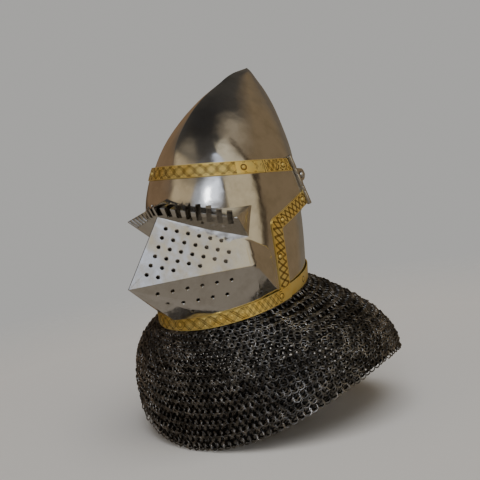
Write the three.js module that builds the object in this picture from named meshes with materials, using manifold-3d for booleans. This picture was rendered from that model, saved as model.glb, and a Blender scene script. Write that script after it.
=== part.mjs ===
// A pig-faced bascinet: a pointed steel bowl with a visor that lifts on two side pivots, brass bands and a
// mail aventail. Millimetres, +Z up, the face towards -Y, the wearer's left towards +X.
// The shapes are laid out from the middle of the brow line; the finished group is moved so that its origin is
// the point under the crown where a head carries the helmet.
import * as THREE from "three";
import { ConvexHull } from "three/addons/math/ConvexHull.js";
import { mergeVertices } from "three/addons/utils/BufferGeometryUtils.js";
import Module from "manifold-3d";

const wasm = await Module();
wasm.setup();

// Bowl: reaches from the middle of the brow line
const CROWN_HEIGHT = 142;
const SIDE_DEPTH = 178;
const BOWL_HALF_WIDTH = 103.5;
const FRONT_REACH = 119;
const REAR_REACH = 103;
const KEEL_HEIGHT = 14;
const KEEL_ANGLE = 1.35;
const REAR_FULLNESS = 0.2;
const BOWL_WALL = 2;
const POINT_THICKENING = 2;

// Lower edge of bowl and visor: a plane that drops towards the chin
const RIM_DROP = 181;
const RIM_SLOPE = 0.1655;

// Face opening of the bowl, hidden by the visor
const FACE_EDGE_Y = -62;
const FACE_TOP_Z = -10;
const FACE_CORNER = 26;

// Visor
const VISOR_GAP = 1;
const VISOR_WALL = 1.8;
const CHEEK_REACH = 300;
const PIECE_GAP = 0.3;

// Brass bands
const BAND_HEIGHT = 18;
const BAND_THICKNESS = 1.4;
const BROW_SLOPE = -0.105;
const SIDE_BAND_WIDTH = 20;

// Sight ledge and snout: named points of the left half, the right half is their mirror image
const BROW_CENTRE = new THREE.Vector3(0, -134.9, -25.6);
const BROW_CORNER = new THREE.Vector3(94.2, -70.3, -44.4);
const LEDGE_CENTRE = new THREE.Vector3(0, -167.9, -28.3);
const LEDGE_END = new THREE.Vector3(103, -116.5, -54.5);
const SNOUT_TOP = new THREE.Vector3(0, -161, -42.6);
const SNOUT_TIP = new THREE.Vector3(0, -236, -126.7);
const CHEEK_UPPER = new THREE.Vector3(90.7, -82.9, -86.7);
const CHEEK_OUTER = new THREE.Vector3(106.8, -95.2, -123.9);
const GUSSET_UPPER = new THREE.Vector3(101.5, -53.9, -103.7);
const GUSSET_LOWER = new THREE.Vector3(100.4, -44.9, -170.1);
const CHIN_CENTRE = new THREE.Vector3(0, -157.5, -187.5);
const LEDGE_CORE = new THREE.Vector3(0, -125, -80);
const SNOUT_CORE = new THREE.Vector3(0, -128, -36);
const HEAD_CORE = new THREE.Vector3(0, -30, -90);

// Sight slots across the ledge, and breath holes through the snout
const SLOT_COUNT = 8;
const SLOT_START = 6.4;
const SLOT_PITCH = 14.5;
const SLOT_WIDTH = 6;
const SLOT_DEPTH = 19;
const SLOT_FAN = 3;
const SLOT_DROP = 9;
const HOLE_RADIUS = 2.5;
const HOLE_SIDES = 6;
const UPPER_ROW_PITCH = 14.2;
const UPPER_HOLE_PITCH = 15.4;
const UPPER_ROWS = [
  { row: 1, start: 14.9, count: 6 },
  { row: 2, start: 12.4, count: 7 },
  { row: 3, start: 10.6, count: 7 },
  { row: 4, start: 8.6, count: 5 },
  { row: 5, start: 5.6, count: 3 },
  { row: 6, start: 2.9, count: 2 },
];
const LOWER_ROW_PITCH = 19.5;
const LOWER_ROW_START = 14;
const LOWER_HOLE_PITCH = 20.5;
const LOWER_ROWS = [
  { row: 0, start: 38.6, count: 6 },
  { row: 1, start: 51.5, count: 5 },
  { row: 2, start: 84.9, count: 1 },
];

// Rear edge of the visor, seen from the side
const HINGE_TOP = { y: 21, z: 9.5 };
const HINGE_BOTTOM = { y: 44, z: -62 };
const EDGE_BEND = { y: -27.5, z: -85.5 };
const EDGE_FOOT = { y: -22.5, z: -186 };

// Hinges, pivots and stops
const KNUCKLE_RADIUS = 3.2;
const PIN_RADIUS = 1.4;
const KNUCKLE_SHARES = [0.27, 0.11, 0.24, 0.11, 0.27];
const KNUCKLE_GAP = 0.4;
const LEAF_WIDTH = 13;
const LEAF_THICKNESS = 1.2;
const WEB_THICKNESS = 3;
const PIVOT_Y = 43;
const PIVOT_Z = -20;
const PIVOT_RADIUS = 3;
const PIVOT_HEAD_RADIUS = 5;
const PIVOT_COLLAR_RADIUS = 6.5;
const ARM_EYE_RADIUS = 9;
const STOP_Y = 36;
const STOP_RADIUS = 3.2;
const STOP_HEIGHT = 5;

// Rivets
const RIVET_RADIUS = 3.2;
const RIVET_HEIGHT = 2;

// Aventail
const MAIL_THICKNESS = 3;
const MAIL_TUCK = 14;
const MAIL_INSET = 2.6;
const HEM_HALF_WIDTH = 210;
const HEM_FRONT = 151;
const HEM_REAR = 212;
const HEM_FRONT_DROP = 370;
const HEM_SIDE_DROP = 284;
const HEM_REAR_DROP = 318;
const FRONT_BULGE = 1.4;
const REAR_BULGE = 0.7;

// Head seat: the crown's inner face over the middle of the bowl
const SEAT_Y = 38;

const STEEL = new THREE.MeshStandardMaterial({ color: 0xb9b4a8, roughness: 0.22, metalness: 1 });
const BRIGHT_STEEL = new THREE.MeshStandardMaterial({ color: 0xd2d0ca, roughness: 0.3, metalness: 1 });
const BRASS = new THREE.MeshStandardMaterial({ color: 0xd9a441, roughness: 0.32, metalness: 1 });
const BLACK_MAIL = new THREE.MeshStandardMaterial({ color: 0x34322f, roughness: 0.5, metalness: 1 });

// Sections of the bowl from the point down to below the rim. A height above the brow line is a share of
// CROWN_HEIGHT, below it of SIDE_DEPTH; the others are shares of half-width, front reach, rear reach, keel
// and of the fullness that squares the rear half of the oval.
const SECTIONS = [
  { height: 1, width: 0, front: -0.67, rear: 0.77, keel: 0, full: 0.5 },
  { height: 0.96, width: 0.071, front: -0.36, rear: 0.81, keel: 0.88, full: 0.7 },
  { height: 0.876, width: 0.169, front: -0.085, rear: 0.86, keel: 0.95, full: 0.9 },
  { height: 0.746, width: 0.315, front: 0.275, rear: 0.93, keel: 1, full: 1 },
  { height: 0.571, width: 0.51, front: 0.59, rear: 0.95, keel: 0.88, full: 1 },
  { height: 0.343, width: 0.71, front: 0.853, rear: 0.94, keel: 0.56, full: 1 },
  { height: 0.076, width: 0.9, front: 1, rear: 0.945, keel: 0.18, full: 0.6 },
  { height: -0.182, width: 0.98, front: 1.145, rear: 0.965, keel: 0.07, full: 0.1 },
  { height: -0.455, width: 1, front: 1.173, rear: 1, keel: 0, full: 0 },
  { height: -0.727, width: 0.985, front: 1.182, rear: 0.987, keel: 0, full: 0 },
  { height: -1, width: 0.958, front: 1.19, rear: 0.944, keel: 0, full: 0 },
  { height: -1.24, width: 0.94, front: 1.19, rear: 0.9, keel: 0, full: 0 },
];
const SECTION_KEYS = ["width", "front", "rear", "keel", "full"];
const SECTION_SIZES = {
  width: BOWL_HALF_WIDTH,
  front: FRONT_REACH,
  rear: REAR_REACH,
  keel: KEEL_HEIGHT,
  full: REAR_FULLNESS,
};
const LEVELS_PER_SECTION = [1, 1, 1, 2, 2, 2, 2, 1, 1, 1, 1];
const RING_STEPS = 36;

const sectionHeight = (row) => row.height * (row.height > 0 ? CROWN_HEIGHT : SIDE_DEPTH);

// A smooth curve through the sections, at height z
function sectionAt(z) {
  const heights = SECTIONS.map(sectionHeight);
  const last = SECTIONS.length - 1;
  const level = Math.min(Math.max(z, heights[last]), heights[0]);
  let i = 0;
  while (i < last - 1 && level < heights[i + 1]) i += 1;
  const span = heights[i + 1] - heights[i];
  const t = (level - heights[i]) / span;
  const slope = (key, k) => {
    const before = Math.max(k - 1, 0);
    const after = Math.min(k + 1, last);
    return (SECTIONS[after][key] - SECTIONS[before][key]) / (heights[after] - heights[before]);
  };
  const section = {};
  for (const key of SECTION_KEYS) {
    const start = SECTIONS[i][key] * (2 * t ** 3 - 3 * t ** 2 + 1);
    const end = SECTIONS[i + 1][key] * (3 * t ** 2 - 2 * t ** 3);
    const startSlope = slope(key, i) * span * (t ** 3 - 2 * t ** 2 + t);
    const endSlope = slope(key, i + 1) * span * (t ** 3 - t ** 2);
    section[key] = (start + end + startSlope + endSlope) * SECTION_SIZES[key];
  }
  const fore = -section.front + section.keel;
  section.middle = (fore + section.rear) / 2;
  section.depth = (section.rear - fore) / 2;
  return section;
}

// A point of the bowl's outer face; angle 0 is the front, PI / 2 the wearer's left. cheekReach, where it is
// given, draws the rear half out flat, as the visor's flaps are.
function surfacePoint(angle, z, cheekReach) {
  const s = sectionAt(z);
  const rearHalf = Math.cos(angle) < 0;
  const reach = rearHalf && cheekReach ? cheekReach : s.depth;
  const power = rearHalf ? 1 - s.full : 1;
  const across = Math.sign(Math.sin(angle)) * Math.abs(Math.sin(angle)) ** power;
  const along = Math.sign(Math.cos(angle)) * Math.abs(Math.cos(angle)) ** power;
  const crease = Math.max(0, 1 - Math.abs(angle) / KEEL_ANGLE) ** 2;
  return new THREE.Vector3(s.width * across, s.middle - reach * along - s.keel * crease, z);
}

// The face's outward direction, from the slopes on both sides of the point
function surfaceNormal(angle, z, cheekReach) {
  const turn = 0.02;
  const rise = 0.5;
  const around = surfacePoint(angle + turn, z, cheekReach).sub(surfacePoint(angle - turn, z, cheekReach));
  const up = surfacePoint(angle, z + rise, cheekReach).sub(surfacePoint(angle, z - rise, cheekReach));
  return around.cross(up).normalize();
}

function offsetPoint(angle, z, offset, cheekReach) {
  const normal = surfaceNormal(angle, z, cheekReach);
  return surfacePoint(angle, z, cheekReach).addScaledVector(normal, offset);
}

function toManifold(geometry) {
  const plain = geometry.index ? geometry.toNonIndexed() : geometry.clone();
  const bare = new THREE.BufferGeometry().setAttribute("position", plain.getAttribute("position"));
  const merged = mergeVertices(bare, 1e-4);
  const vertProperties = new Float32Array(merged.attributes.position.array);
  const triVerts = new Uint32Array(merged.index.array);
  return new wasm.Manifold(new wasm.Mesh({ numProp: 3, vertProperties, triVerts }));
}

function toGeometry(solid) {
  const mesh = solid.getMesh();
  const geometry = new THREE.BufferGeometry();
  geometry.setAttribute("position", new THREE.BufferAttribute(new Float32Array(mesh.vertProperties), 3));
  geometry.setIndex(Array.from(mesh.triVerts));
  return geometry;
}

const joined = (solids) => solids.reduce((all, next) => all.add(next));

// A closed solid from rings of equal length; each end is a ring that is capped, or a single point
function ringSolid(rings) {
  const points = rings.flat();
  const starts = [];
  rings.reduce((at, ring) => (starts.push(at), at + ring.length), 0);
  const index = [];
  for (let r = 0; r + 1 < rings.length; r += 1) {
    const upper = rings[r];
    const lower = rings[r + 1];
    const steps = Math.max(upper.length, lower.length);
    for (let k = 0; k < steps; k += 1) {
      const n = (k + 1) % steps;
      const [u0, u1] = upper.length > 1 ? [starts[r] + k, starts[r] + n] : [starts[r], starts[r]];
      const [l0, l1] = lower.length > 1 ? [starts[r + 1] + k, starts[r + 1] + n] : [starts[r + 1], starts[r + 1]];
      if (l0 !== l1) index.push(u0, l0, l1);
      if (u0 !== u1) index.push(u0, l1, u1);
    }
  }
  const cap = (ring, start, down) => {
    for (let k = 1; k + 1 < ring.length; k += 1) {
      index.push(start, ...(down ? [start + k + 1, start + k] : [start + k, start + k + 1]));
    }
  };
  cap(rings[0], starts[0], false);
  cap(rings[rings.length - 1], starts[rings.length - 1], true);
  const geometry = new THREE.BufferGeometry().setFromPoints(points);
  geometry.setIndex(index);
  return toManifold(geometry);
}

// A closed wall between an outer and an inner row of rings, joined at the top and at the bottom
function closedWall(outer, inner) {
  const rings = [...outer, ...inner.slice().reverse()];
  const size = rings[0].length;
  const index = [];
  rings.forEach((_, r) => {
    const [upper, lower] = [r * size, ((r + 1) % rings.length) * size];
    for (let k = 0; k < size; k += 1) {
      const n = (k + 1) % size;
      index.push(upper + k, lower + k, lower + n, upper + k, lower + n, upper + n);
    }
  });
  const geometry = new THREE.BufferGeometry().setFromPoints(rings.flat());
  geometry.setIndex(index);
  return toManifold(geometry);
}

const ringLevels = [];
SECTIONS.slice(0, -1).forEach((row, i) => {
  const [from, to] = [sectionHeight(row), sectionHeight(SECTIONS[i + 1])];
  for (let k = 0; k < LEVELS_PER_SECTION[i]; k += 1) {
    ringLevels.push(from + ((to - from) * k) / LEVELS_PER_SECTION[i]);
  }
});
ringLevels.push(sectionHeight(SECTIONS[SECTIONS.length - 1]));

// The whole ovoid, solid, its face moved out by offset
const ovoids = new Map();
function ovoid(offset, cheekReach) {
  const key = `${offset} ${cheekReach}`;
  if (!ovoids.has(key)) {
    const rings = ringLevels.map((z, i) => {
      if (i === 0) return [surfacePoint(0, z).setZ(z + offset * POINT_THICKENING)];
      const ring = [];
      for (let k = 0; k < RING_STEPS; k += 1) {
        ring.push(offsetPoint((2 * Math.PI * k) / RING_STEPS, z, offset, cheekReach));
      }
      return ring;
    });
    ovoids.set(key, ringSolid(rings));
  }
  return ovoids.get(key);
}

const shell = (inner, outer, cheekReach) => ovoid(outer, cheekReach).subtract(ovoid(inner, cheekReach));

// Everything on the side of a plane that its normal points to
const REACH = 1200;
function halfSpace(point, normal) {
  const box = new THREE.BoxGeometry(REACH, REACH, REACH).translate(0, 0, REACH / 2);
  box.applyQuaternion(new THREE.Quaternion().setFromUnitVectors(new THREE.Vector3(0, 0, 1), normal));
  return toManifold(box.translate(point.x, point.y, point.z));
}

// A prism along X over an outline in the side view
function sidePrism(outline, fromX, toX) {
  const shape = new THREE.Shape(outline.map((p) => new THREE.Vector2(p.y, p.z)));
  const prism = new THREE.ExtrudeGeometry(shape, { depth: toX - fromX, bevelEnabled: false });
  prism.applyMatrix4(new THREE.Matrix4().makeBasis(
    new THREE.Vector3(0, 1, 0),
    new THREE.Vector3(0, 0, 1),
    new THREE.Vector3(1, 0, 0),
  ));
  return toManifold(prism.translate(fromX, 0, 0));
}

const mirroredPoint = (p) => new THREE.Vector3(-p.x, p.y, p.z);

function mirrored(solid) {
  const geometry = toGeometry(solid).scale(-1, 1, 1);
  const index = Array.from(geometry.index.array);
  for (let k = 0; k < index.length; k += 3) [index[k + 1], index[k + 2]] = [index[k + 2], index[k + 1]];
  geometry.setIndex(index);
  return toManifold(geometry);
}

// The convex block between named points and their mirror images, each face moved in by inset
function block(points, inset) {
  const hull = new ConvexHull().setFromPoints([...points, ...points.filter((p) => p.x > 0).map(mirroredPoint)]);
  let solid = toManifold(new THREE.BoxGeometry(REACH, REACH, REACH));
  for (const face of hull.faces) {
    const on = face.normal.clone().multiplyScalar(face.constant - inset);
    solid = solid.subtract(halfSpace(on, face.normal.clone().normalize()));
  }
  return solid;
}

const ledgeOuter = [BROW_CENTRE, BROW_CORNER, LEDGE_CENTRE, LEDGE_END, SNOUT_TOP, CHEEK_UPPER, LEDGE_CORE, HEAD_CORE];
const snoutOuter = [
  SNOUT_TOP, SNOUT_TIP, CHEEK_UPPER, CHEEK_OUTER, GUSSET_UPPER, GUSSET_LOWER, CHIN_CENTRE, SNOUT_CORE, HEAD_CORE,
];
const prow = (inset) => block(ledgeOuter, inset).add(block(snoutOuter, inset));

const rimZ = (y, rise = 0) => -RIM_DROP + RIM_SLOPE * y + rise;
const browZ = (y, rise = 0) => BROW_SLOPE * y + rise;
const EDGE = BAND_HEIGHT / 2;
const FAR = 400;

const belowRim = halfSpace(new THREE.Vector3(0, 0, -RIM_DROP), new THREE.Vector3(0, RIM_SLOPE, -1).normalize());

function makeSkull() {
  const opening = sidePrism([
    { y: -FAR, z: FACE_TOP_Z },
    { y: FACE_EDGE_Y - FACE_CORNER, z: FACE_TOP_Z },
    { y: FACE_EDGE_Y, z: FACE_TOP_Z - FACE_CORNER },
    { y: FACE_EDGE_Y, z: -FAR },
    { y: -FAR, z: -FAR },
  ], -FAR, FAR);
  return shell(-BOWL_WALL, 0).subtract(belowRim).subtract(opening);
}

// Side view of the visor: from its top edge to the rim, and back to its rear edge less a margin
function visorOutline(margin) {
  return [
    { y: -FAR, z: browZ(-FAR, EDGE) },
    { y: HINGE_TOP.y - margin, z: browZ(HINGE_TOP.y - margin, EDGE) },
    { y: HINGE_BOTTOM.y - margin, z: HINGE_BOTTOM.z },
    { y: EDGE_BEND.y, z: EDGE_BEND.z },
    { y: EDGE_FOOT.y, z: rimZ(EDGE_FOOT.y, -1) },
    { y: EDGE_FOOT.y, z: -FAR },
    { y: -FAR, z: -FAR },
  ];
}

const EDGE_MARGIN = KNUCKLE_RADIUS + KNUCKLE_GAP;
const visorRegion = sidePrism(visorOutline(EDGE_MARGIN), -FAR, FAR).subtract(belowRim);

// A cutter through a facet: axes along the rows and down the rows, both in the facet's plane
function facetFrame(corner, along, below) {
  const row = along.clone().sub(corner).normalize();
  const normal = row.clone().cross(below.clone().sub(corner)).normalize();
  const down = normal.clone().cross(row).normalize();
  if (down.dot(below.clone().sub(corner)) < 0) down.negate();
  return { corner, row, down, normal };
}

function facetHole(frame, s, t) {
  const hole = new THREE.CylinderGeometry(HOLE_RADIUS, HOLE_RADIUS, 8 * VISOR_WALL, HOLE_SIDES);
  hole.applyQuaternion(new THREE.Quaternion().setFromUnitVectors(new THREE.Vector3(0, 1, 0), frame.normal));
  const at = frame.corner.clone().addScaledVector(frame.row, s).addScaledVector(frame.down, t);
  return toManifold(hole.translate(at.x, at.y, at.z));
}

function breathHoles() {
  const upper = facetFrame(SNOUT_TOP, CHEEK_UPPER, SNOUT_TIP);
  const lower = facetFrame(SNOUT_TIP, CHEEK_OUTER, GUSSET_LOWER);
  const holes = [];
  for (const { row, start, count } of UPPER_ROWS) {
    for (let k = 0; k < count; k += 1) {
      holes.push(facetHole(upper, start + k * UPPER_HOLE_PITCH, row * UPPER_ROW_PITCH));
    }
  }
  for (const { row, start, count } of LOWER_ROWS) {
    for (let k = 0; k < count; k += 1) {
      holes.push(facetHole(lower, start + k * LOWER_HOLE_PITCH, LOWER_ROW_START + row * LOWER_ROW_PITCH));
    }
  }
  return joined(holes);
}

function sightSlots() {
  const ridge = LEDGE_END.clone().sub(LEDGE_CENTRE).normalize();
  const turn = Math.atan2(ridge.y, ridge.x);
  const slots = [];
  for (let k = 0; k < SLOT_COUNT; k += 1) {
    const at = LEDGE_CENTRE.clone().addScaledVector(ridge, SLOT_START + k * SLOT_PITCH);
    const height = SLOT_DROP + 10;
    const slot = new THREE.BoxGeometry(SLOT_WIDTH, SLOT_DEPTH + 10, height);
    slot.translate(0, (SLOT_DEPTH - 10) / 2, 10 - height / 2).rotateZ(turn * Math.min(1, k / SLOT_FAN));
    slots.push(toManifold(slot.translate(at.x, at.y, at.z)));
  }
  return joined(slots);
}

function makeVisor() {
  const outside = ovoid(VISOR_GAP + VISOR_WALL, CHEEK_REACH).add(prow(0));
  const inside = ovoid(VISOR_GAP, CHEEK_REACH).add(prow(VISOR_WALL));
  const cuts = joined([breathHoles(), sightSlots()]);
  return outside.subtract(inside).intersect(visorRegion).subtract(cuts).subtract(mirrored(cuts));
}

// Brass bands: thin skins over the visor and the bowl
const BAND_INNER = VISOR_GAP + VISOR_WALL + PIECE_GAP;
const BAND_OUTER = BAND_INNER + BAND_THICKNESS;
const bandSkin = shell(BAND_INNER, BAND_OUTER, CHEEK_REACH).subtract(prow(-PIECE_GAP)).subtract(belowRim);

function betweenPlanes(zAt, low, high) {
  return sidePrism([
    { y: -FAR, z: zAt(-FAR, low) },
    { y: FAR, z: zAt(FAR, low) },
    { y: FAR, z: zAt(FAR, high) },
    { y: -FAR, z: zAt(-FAR, high) },
  ], -FAR, FAR);
}

// The strip along the visor's rear edge, from the hinge's foot round the bend to the chin band
function sideStrip() {
  const rear = [
    { y: HINGE_BOTTOM.y - EDGE_MARGIN, z: HINGE_BOTTOM.z },
    { y: EDGE_BEND.y, z: EDGE_BEND.z },
    { y: EDGE_FOOT.y, z: rimZ(EDGE_FOOT.y, BAND_HEIGHT + PIECE_GAP) },
  ];
  const run = Math.hypot(rear[0].y - rear[1].y, rear[0].z - rear[1].z);
  const along = { y: (rear[0].y - rear[1].y) / run, z: (rear[0].z - rear[1].z) / run };
  const lift = SIDE_BAND_WIDTH / along.y;
  const bendY = rear[1].y - SIDE_BAND_WIDTH;
  const bendZ = rear[1].z + lift - (SIDE_BAND_WIDTH * along.z) / along.y;
  const hingeAt = (z) => HINGE_TOP.y + ((z - HINGE_TOP.z) * (HINGE_BOTTOM.y - HINGE_TOP.y)) / (HINGE_BOTTOM.z - HINGE_TOP.z);
  const topZ = rear[0].z + lift - along.z * 8;
  const footY = EDGE_FOOT.y - SIDE_BAND_WIDTH;
  return [
    rear[0],
    { y: hingeAt(topZ) - EDGE_MARGIN, z: topZ },
    { y: bendY, z: bendZ },
    { y: footY, z: rimZ(footY, BAND_HEIGHT + PIECE_GAP) },
    rear[2],
    rear[1],
  ];
}

const browBand = () => bandSkin.intersect(visorRegion).intersect(betweenPlanes(browZ, -EDGE, EDGE));
const chinBand = () => bandSkin.intersect(visorRegion).intersect(betweenPlanes(rimZ, 0, BAND_HEIGHT));
const sideBand = () => bandSkin.intersect(sidePrism(sideStrip(), 0, FAR));

function napeBand() {
  const start = EDGE_FOOT.y + 2 * PIECE_GAP;
  const behind = sidePrism([
    { y: start, z: -FAR },
    { y: FAR, z: -FAR },
    { y: FAR, z: 0 },
    { y: start, z: 0 },
  ], -FAR, FAR);
  const skin = shell(PIECE_GAP, PIECE_GAP + BAND_THICKNESS);
  return skin.intersect(betweenPlanes(rimZ, 0, BAND_HEIGHT)).intersect(behind);
}

// Half-width of the ovoid's face at a place in the side view
function sideX(y, z, offset, cheekReach) {
  const s = sectionAt(z);
  const rearHalf = y > s.middle;
  const base = rearHalf && cheekReach ? cheekReach : s.depth;
  const power = rearHalf ? 1 - s.full : 1;
  const share = Math.min(1, Math.abs(y - s.middle) / (base + offset));
  return (s.width + offset) * (1 - share ** (2 / power)) ** (power / 2);
}

const VISOR_OUTER = VISOR_GAP + VISOR_WALL;
const AXIS_HEIGHT = KNUCKLE_RADIUS + KNUCKLE_GAP;
const axisPoint = ({ y, z }) => new THREE.Vector3(sideX(y, z, VISOR_OUTER, CHEEK_REACH) + AXIS_HEIGHT, y, z);
const hingeTop = axisPoint(HINGE_TOP);
const hingeBottom = axisPoint(HINGE_BOTTOM);
const hingeAxis = hingeBottom.clone().sub(hingeTop);
const hingeLength = hingeAxis.length();
hingeAxis.normalize();

// Parts turned about the hinge axis are made along -Z from the origin and placed on it
function onHinge(geometry) {
  geometry.applyQuaternion(new THREE.Quaternion().setFromUnitVectors(new THREE.Vector3(0, 0, -1), hingeAxis));
  return toManifold(geometry.translate(hingeTop.x, hingeTop.y, hingeTop.z));
}

const KNUCKLE_SIDES = 10;
const tubeProfile = (inner, outer, from, to) => [
  new THREE.Vector2(inner, from),
  new THREE.Vector2(outer, from),
  new THREE.Vector2(outer, to),
  new THREE.Vector2(inner, to),
  new THREE.Vector2(inner, from),
];
const lathe = (profile, sides) => new THREE.LatheGeometry(profile, sides).rotateX(Math.PI / 2);

const pinBore = () => {
  const bore = PIN_RADIUS + PIECE_GAP;
  return onHinge(lathe([[0, -FAR], [bore, -FAR], [bore, FAR], [0, FAR]].map(([r, z]) => new THREE.Vector2(r, z)), KNUCKLE_SIDES));
};

const knuckleSpans = [];
KNUCKLE_SHARES.reduce((start, share) => {
  knuckleSpans.push({ from: start * hingeLength + KNUCKLE_GAP / 2, to: (start + share) * hingeLength - KNUCKLE_GAP / 2 });
  return start + share;
}, 0);

// A barrel and the web that ties it to its plate, which lies at a depth below the axis
function knuckle({ from, to }, depth) {
  const bore = PIN_RADIUS + PIECE_GAP;
  const barrel = onHinge(lathe(tubeProfile(bore, KNUCKLE_RADIUS, -to, -from), KNUCKLE_SIDES));
  const web = new THREE.BoxGeometry(depth - bore - PIECE_GAP, WEB_THICKNESS, to - from);
  web.translate(-(depth + bore + PIECE_GAP) / 2, 0, -(from + to) / 2);
  return { barrel, web: onHinge(web) };
}

// A place in the side view, a length down the hinge axis and square behind it
function besideHinge(length, back) {
  const p = hingeTop.clone().addScaledVector(hingeAxis, length);
  const run = Math.hypot(hingeAxis.y, hingeAxis.z);
  return { y: p.y - (back * hingeAxis.z) / run, z: p.z + (back * hingeAxis.y) / run };
}

// A strip of the side view between two distances behind the hinge axis, over one stretch of it
function hingeStrip({ from, to }, near, far) {
  const corners = [besideHinge(from, near), besideHinge(to, near), besideHinge(to, far), besideHinge(from, far)];
  const slice = new THREE.BoxGeometry(FAR, FAR, to - from).translate(0, 0, -(from + to) / 2);
  return sidePrism(corners, 0, FAR).intersect(onHinge(slice));
}

function hingeLeaf() {
  const outer = VISOR_GAP - PIECE_GAP;
  const whole = { from: PIECE_GAP, to: hingeLength - PIECE_GAP };
  const skin = shell(outer - LEAF_THICKNESS, outer, CHEEK_REACH);
  const plate = skin.intersect(hingeStrip(whole, -LEAF_WIDTH, -EDGE_MARGIN));
  const solids = [plate];
  knuckleSpans.filter((_, k) => k % 2 === 0).forEach((span) => {
    const { barrel, web } = knuckle(span, AXIS_HEIGHT + VISOR_WALL + PIECE_GAP + LEAF_THICKNESS);
    const tab = skin.intersect(hingeStrip(span, -EDGE_MARGIN - 1, WEB_THICKNESS / 2));
    solids.push(tab, web, barrel);
  });
  return joined(solids).subtract(ovoid(PIECE_GAP)).subtract(pinBore());
}

const PIVOT_X = sideX(PIVOT_Y, PIVOT_Z, VISOR_OUTER, CHEEK_REACH);

// A solid of revolution about the pivots' line, from a profile along X
function onPivot(profile, sides) {
  const turned = new THREE.LatheGeometry(profile, sides).rotateZ(-Math.PI / 2);
  return toManifold(turned.translate(0, PIVOT_Y, PIVOT_Z));
}

function pivotArm() {
  const skin = shell(VISOR_GAP, VISOR_OUTER, CHEEK_REACH);
  const spans = knuckleSpans.filter((_, k) => k % 2 === 1);
  const eye = (angle) => ({
    y: PIVOT_Y + ARM_EYE_RADIUS * Math.cos(angle),
    z: PIVOT_Z + ARM_EYE_RADIUS * Math.sin(angle),
  });
  const outline = [besideHinge(spans[0].from, EDGE_MARGIN), besideHinge(spans[1].to, EDGE_MARGIN)];
  for (let k = 0; k <= 8; k += 1) outline.push(eye(-Math.PI / 2 + (Math.PI * k) / 8));
  const solids = [skin.intersect(sidePrism(outline, 0, FAR))];
  for (const span of spans) {
    const { barrel, web } = knuckle(span, AXIS_HEIGHT + VISOR_WALL / 2);
    solids.push(skin.intersect(hingeStrip(span, -WEB_THICKNESS / 2, EDGE_MARGIN + 1)), web, barrel);
  }
  const bore = PIVOT_RADIUS + PIECE_GAP;
  const hole = onPivot([[0, 0], [bore, 0], [bore, FAR], [0, FAR]].map(([r, x]) => new THREE.Vector2(r, x)), 16);
  return joined(solids).subtract(hole).subtract(pinBore());
}

function hingePin() {
  const cap = PIN_RADIUS + 1;
  const profile = [
    [0, -hingeLength - PIECE_GAP - 1.6],
    [cap, -hingeLength - PIECE_GAP - 1],
    [cap, -hingeLength - PIECE_GAP],
    [PIN_RADIUS, -hingeLength - PIECE_GAP],
    [PIN_RADIUS, PIECE_GAP],
    [cap, PIECE_GAP],
    [cap, PIECE_GAP + 1],
    [0, PIECE_GAP + 1.6],
  ].map(([r, z]) => new THREE.Vector2(r, z));
  return onHinge(lathe(profile, KNUCKLE_SIDES));
}

// The pivot: a collar on the bowl, a shank through the arm's eye and a round head outside it
function pivotPost() {
  const inside = PIVOT_X - VISOR_WALL - 2 * PIECE_GAP - 1;
  const outside = PIVOT_X + 2 * PIECE_GAP + 0.6;
  const profile = [
    [0, inside - 40],
    [PIVOT_COLLAR_RADIUS, inside - 40],
    [PIVOT_COLLAR_RADIUS, inside],
    [PIVOT_RADIUS, inside],
    [PIVOT_RADIUS, outside],
    [PIVOT_HEAD_RADIUS, outside],
    [PIVOT_HEAD_RADIUS * 0.8, outside + 1.8],
    [PIVOT_HEAD_RADIUS * 0.4, outside + 2.8],
    [0, outside + 3],
  ].map(([r, x]) => new THREE.Vector2(r, x));
  return onPivot(profile, 16).subtract(ovoid(PIECE_GAP));
}

// A domed head with a foot that reaches below its place, to be trimmed to the face it stands on
const DOME_FOOT = 3;
function dome(at, normal, radius, height, sides = 8) {
  const profile = [
    [0, -DOME_FOOT],
    [radius, -DOME_FOOT],
    [radius, 0],
    [radius * 0.86, height * 0.5],
    [radius * 0.5, height * 0.87],
    [0, height],
  ];
  const head = new THREE.LatheGeometry(profile.map(([r, z]) => new THREE.Vector2(r, z)), sides);
  head.applyQuaternion(new THREE.Quaternion().setFromUnitVectors(new THREE.Vector3(0, 1, 0), normal));
  return toManifold(head.translate(at.x, at.y, at.z));
}

// The angle round the ovoid that a place in the side view has on the wearer's left
function angleAt(y, z, cheekReach) {
  const s = sectionAt(z);
  const rearHalf = y > s.middle;
  const reach = rearHalf && cheekReach ? cheekReach : s.depth;
  const share = Math.min(1, Math.abs(y - s.middle) / reach);
  return rearHalf ? Math.PI - Math.acos(share ** (1 / (1 - s.full))) : Math.acos(share);
}

function rivetAt(angle, z, offset, cheekReach) {
  const normal = surfaceNormal(angle, z, cheekReach);
  const head = dome(offsetPoint(angle, z, offset, cheekReach), normal, RIVET_RADIUS, RIVET_HEIGHT);
  return head.subtract(ovoid(offset + PIECE_GAP, cheekReach));
}

// Rivets on a band that runs round: its line, the angles in degrees from the front, wearer's left positive
const ROUND_RIVETS = [
  { band: "brow", zAt: browZ, rise: 0, cheeks: CHEEK_REACH, lift: BAND_OUTER, angles: [92, 60, -30, -92] },
  { band: "chin", zAt: rimZ, rise: EDGE, cheeks: CHEEK_REACH, lift: BAND_OUTER, angles: [80, 0, -58] },
  { band: "nape", zAt: rimZ, rise: EDGE, cheeks: 0, lift: PIECE_GAP + BAND_THICKNESS, angles: [110, 150, -150, -110] },
];
// Rivets on each side band: distance ahead of the rear edge, height
const SIDE_RIVETS = [
  { y: 30, z: -54.5 },
  { y: -25, z: -74.5 },
  { y: -38.5, z: -124 },
];

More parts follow.
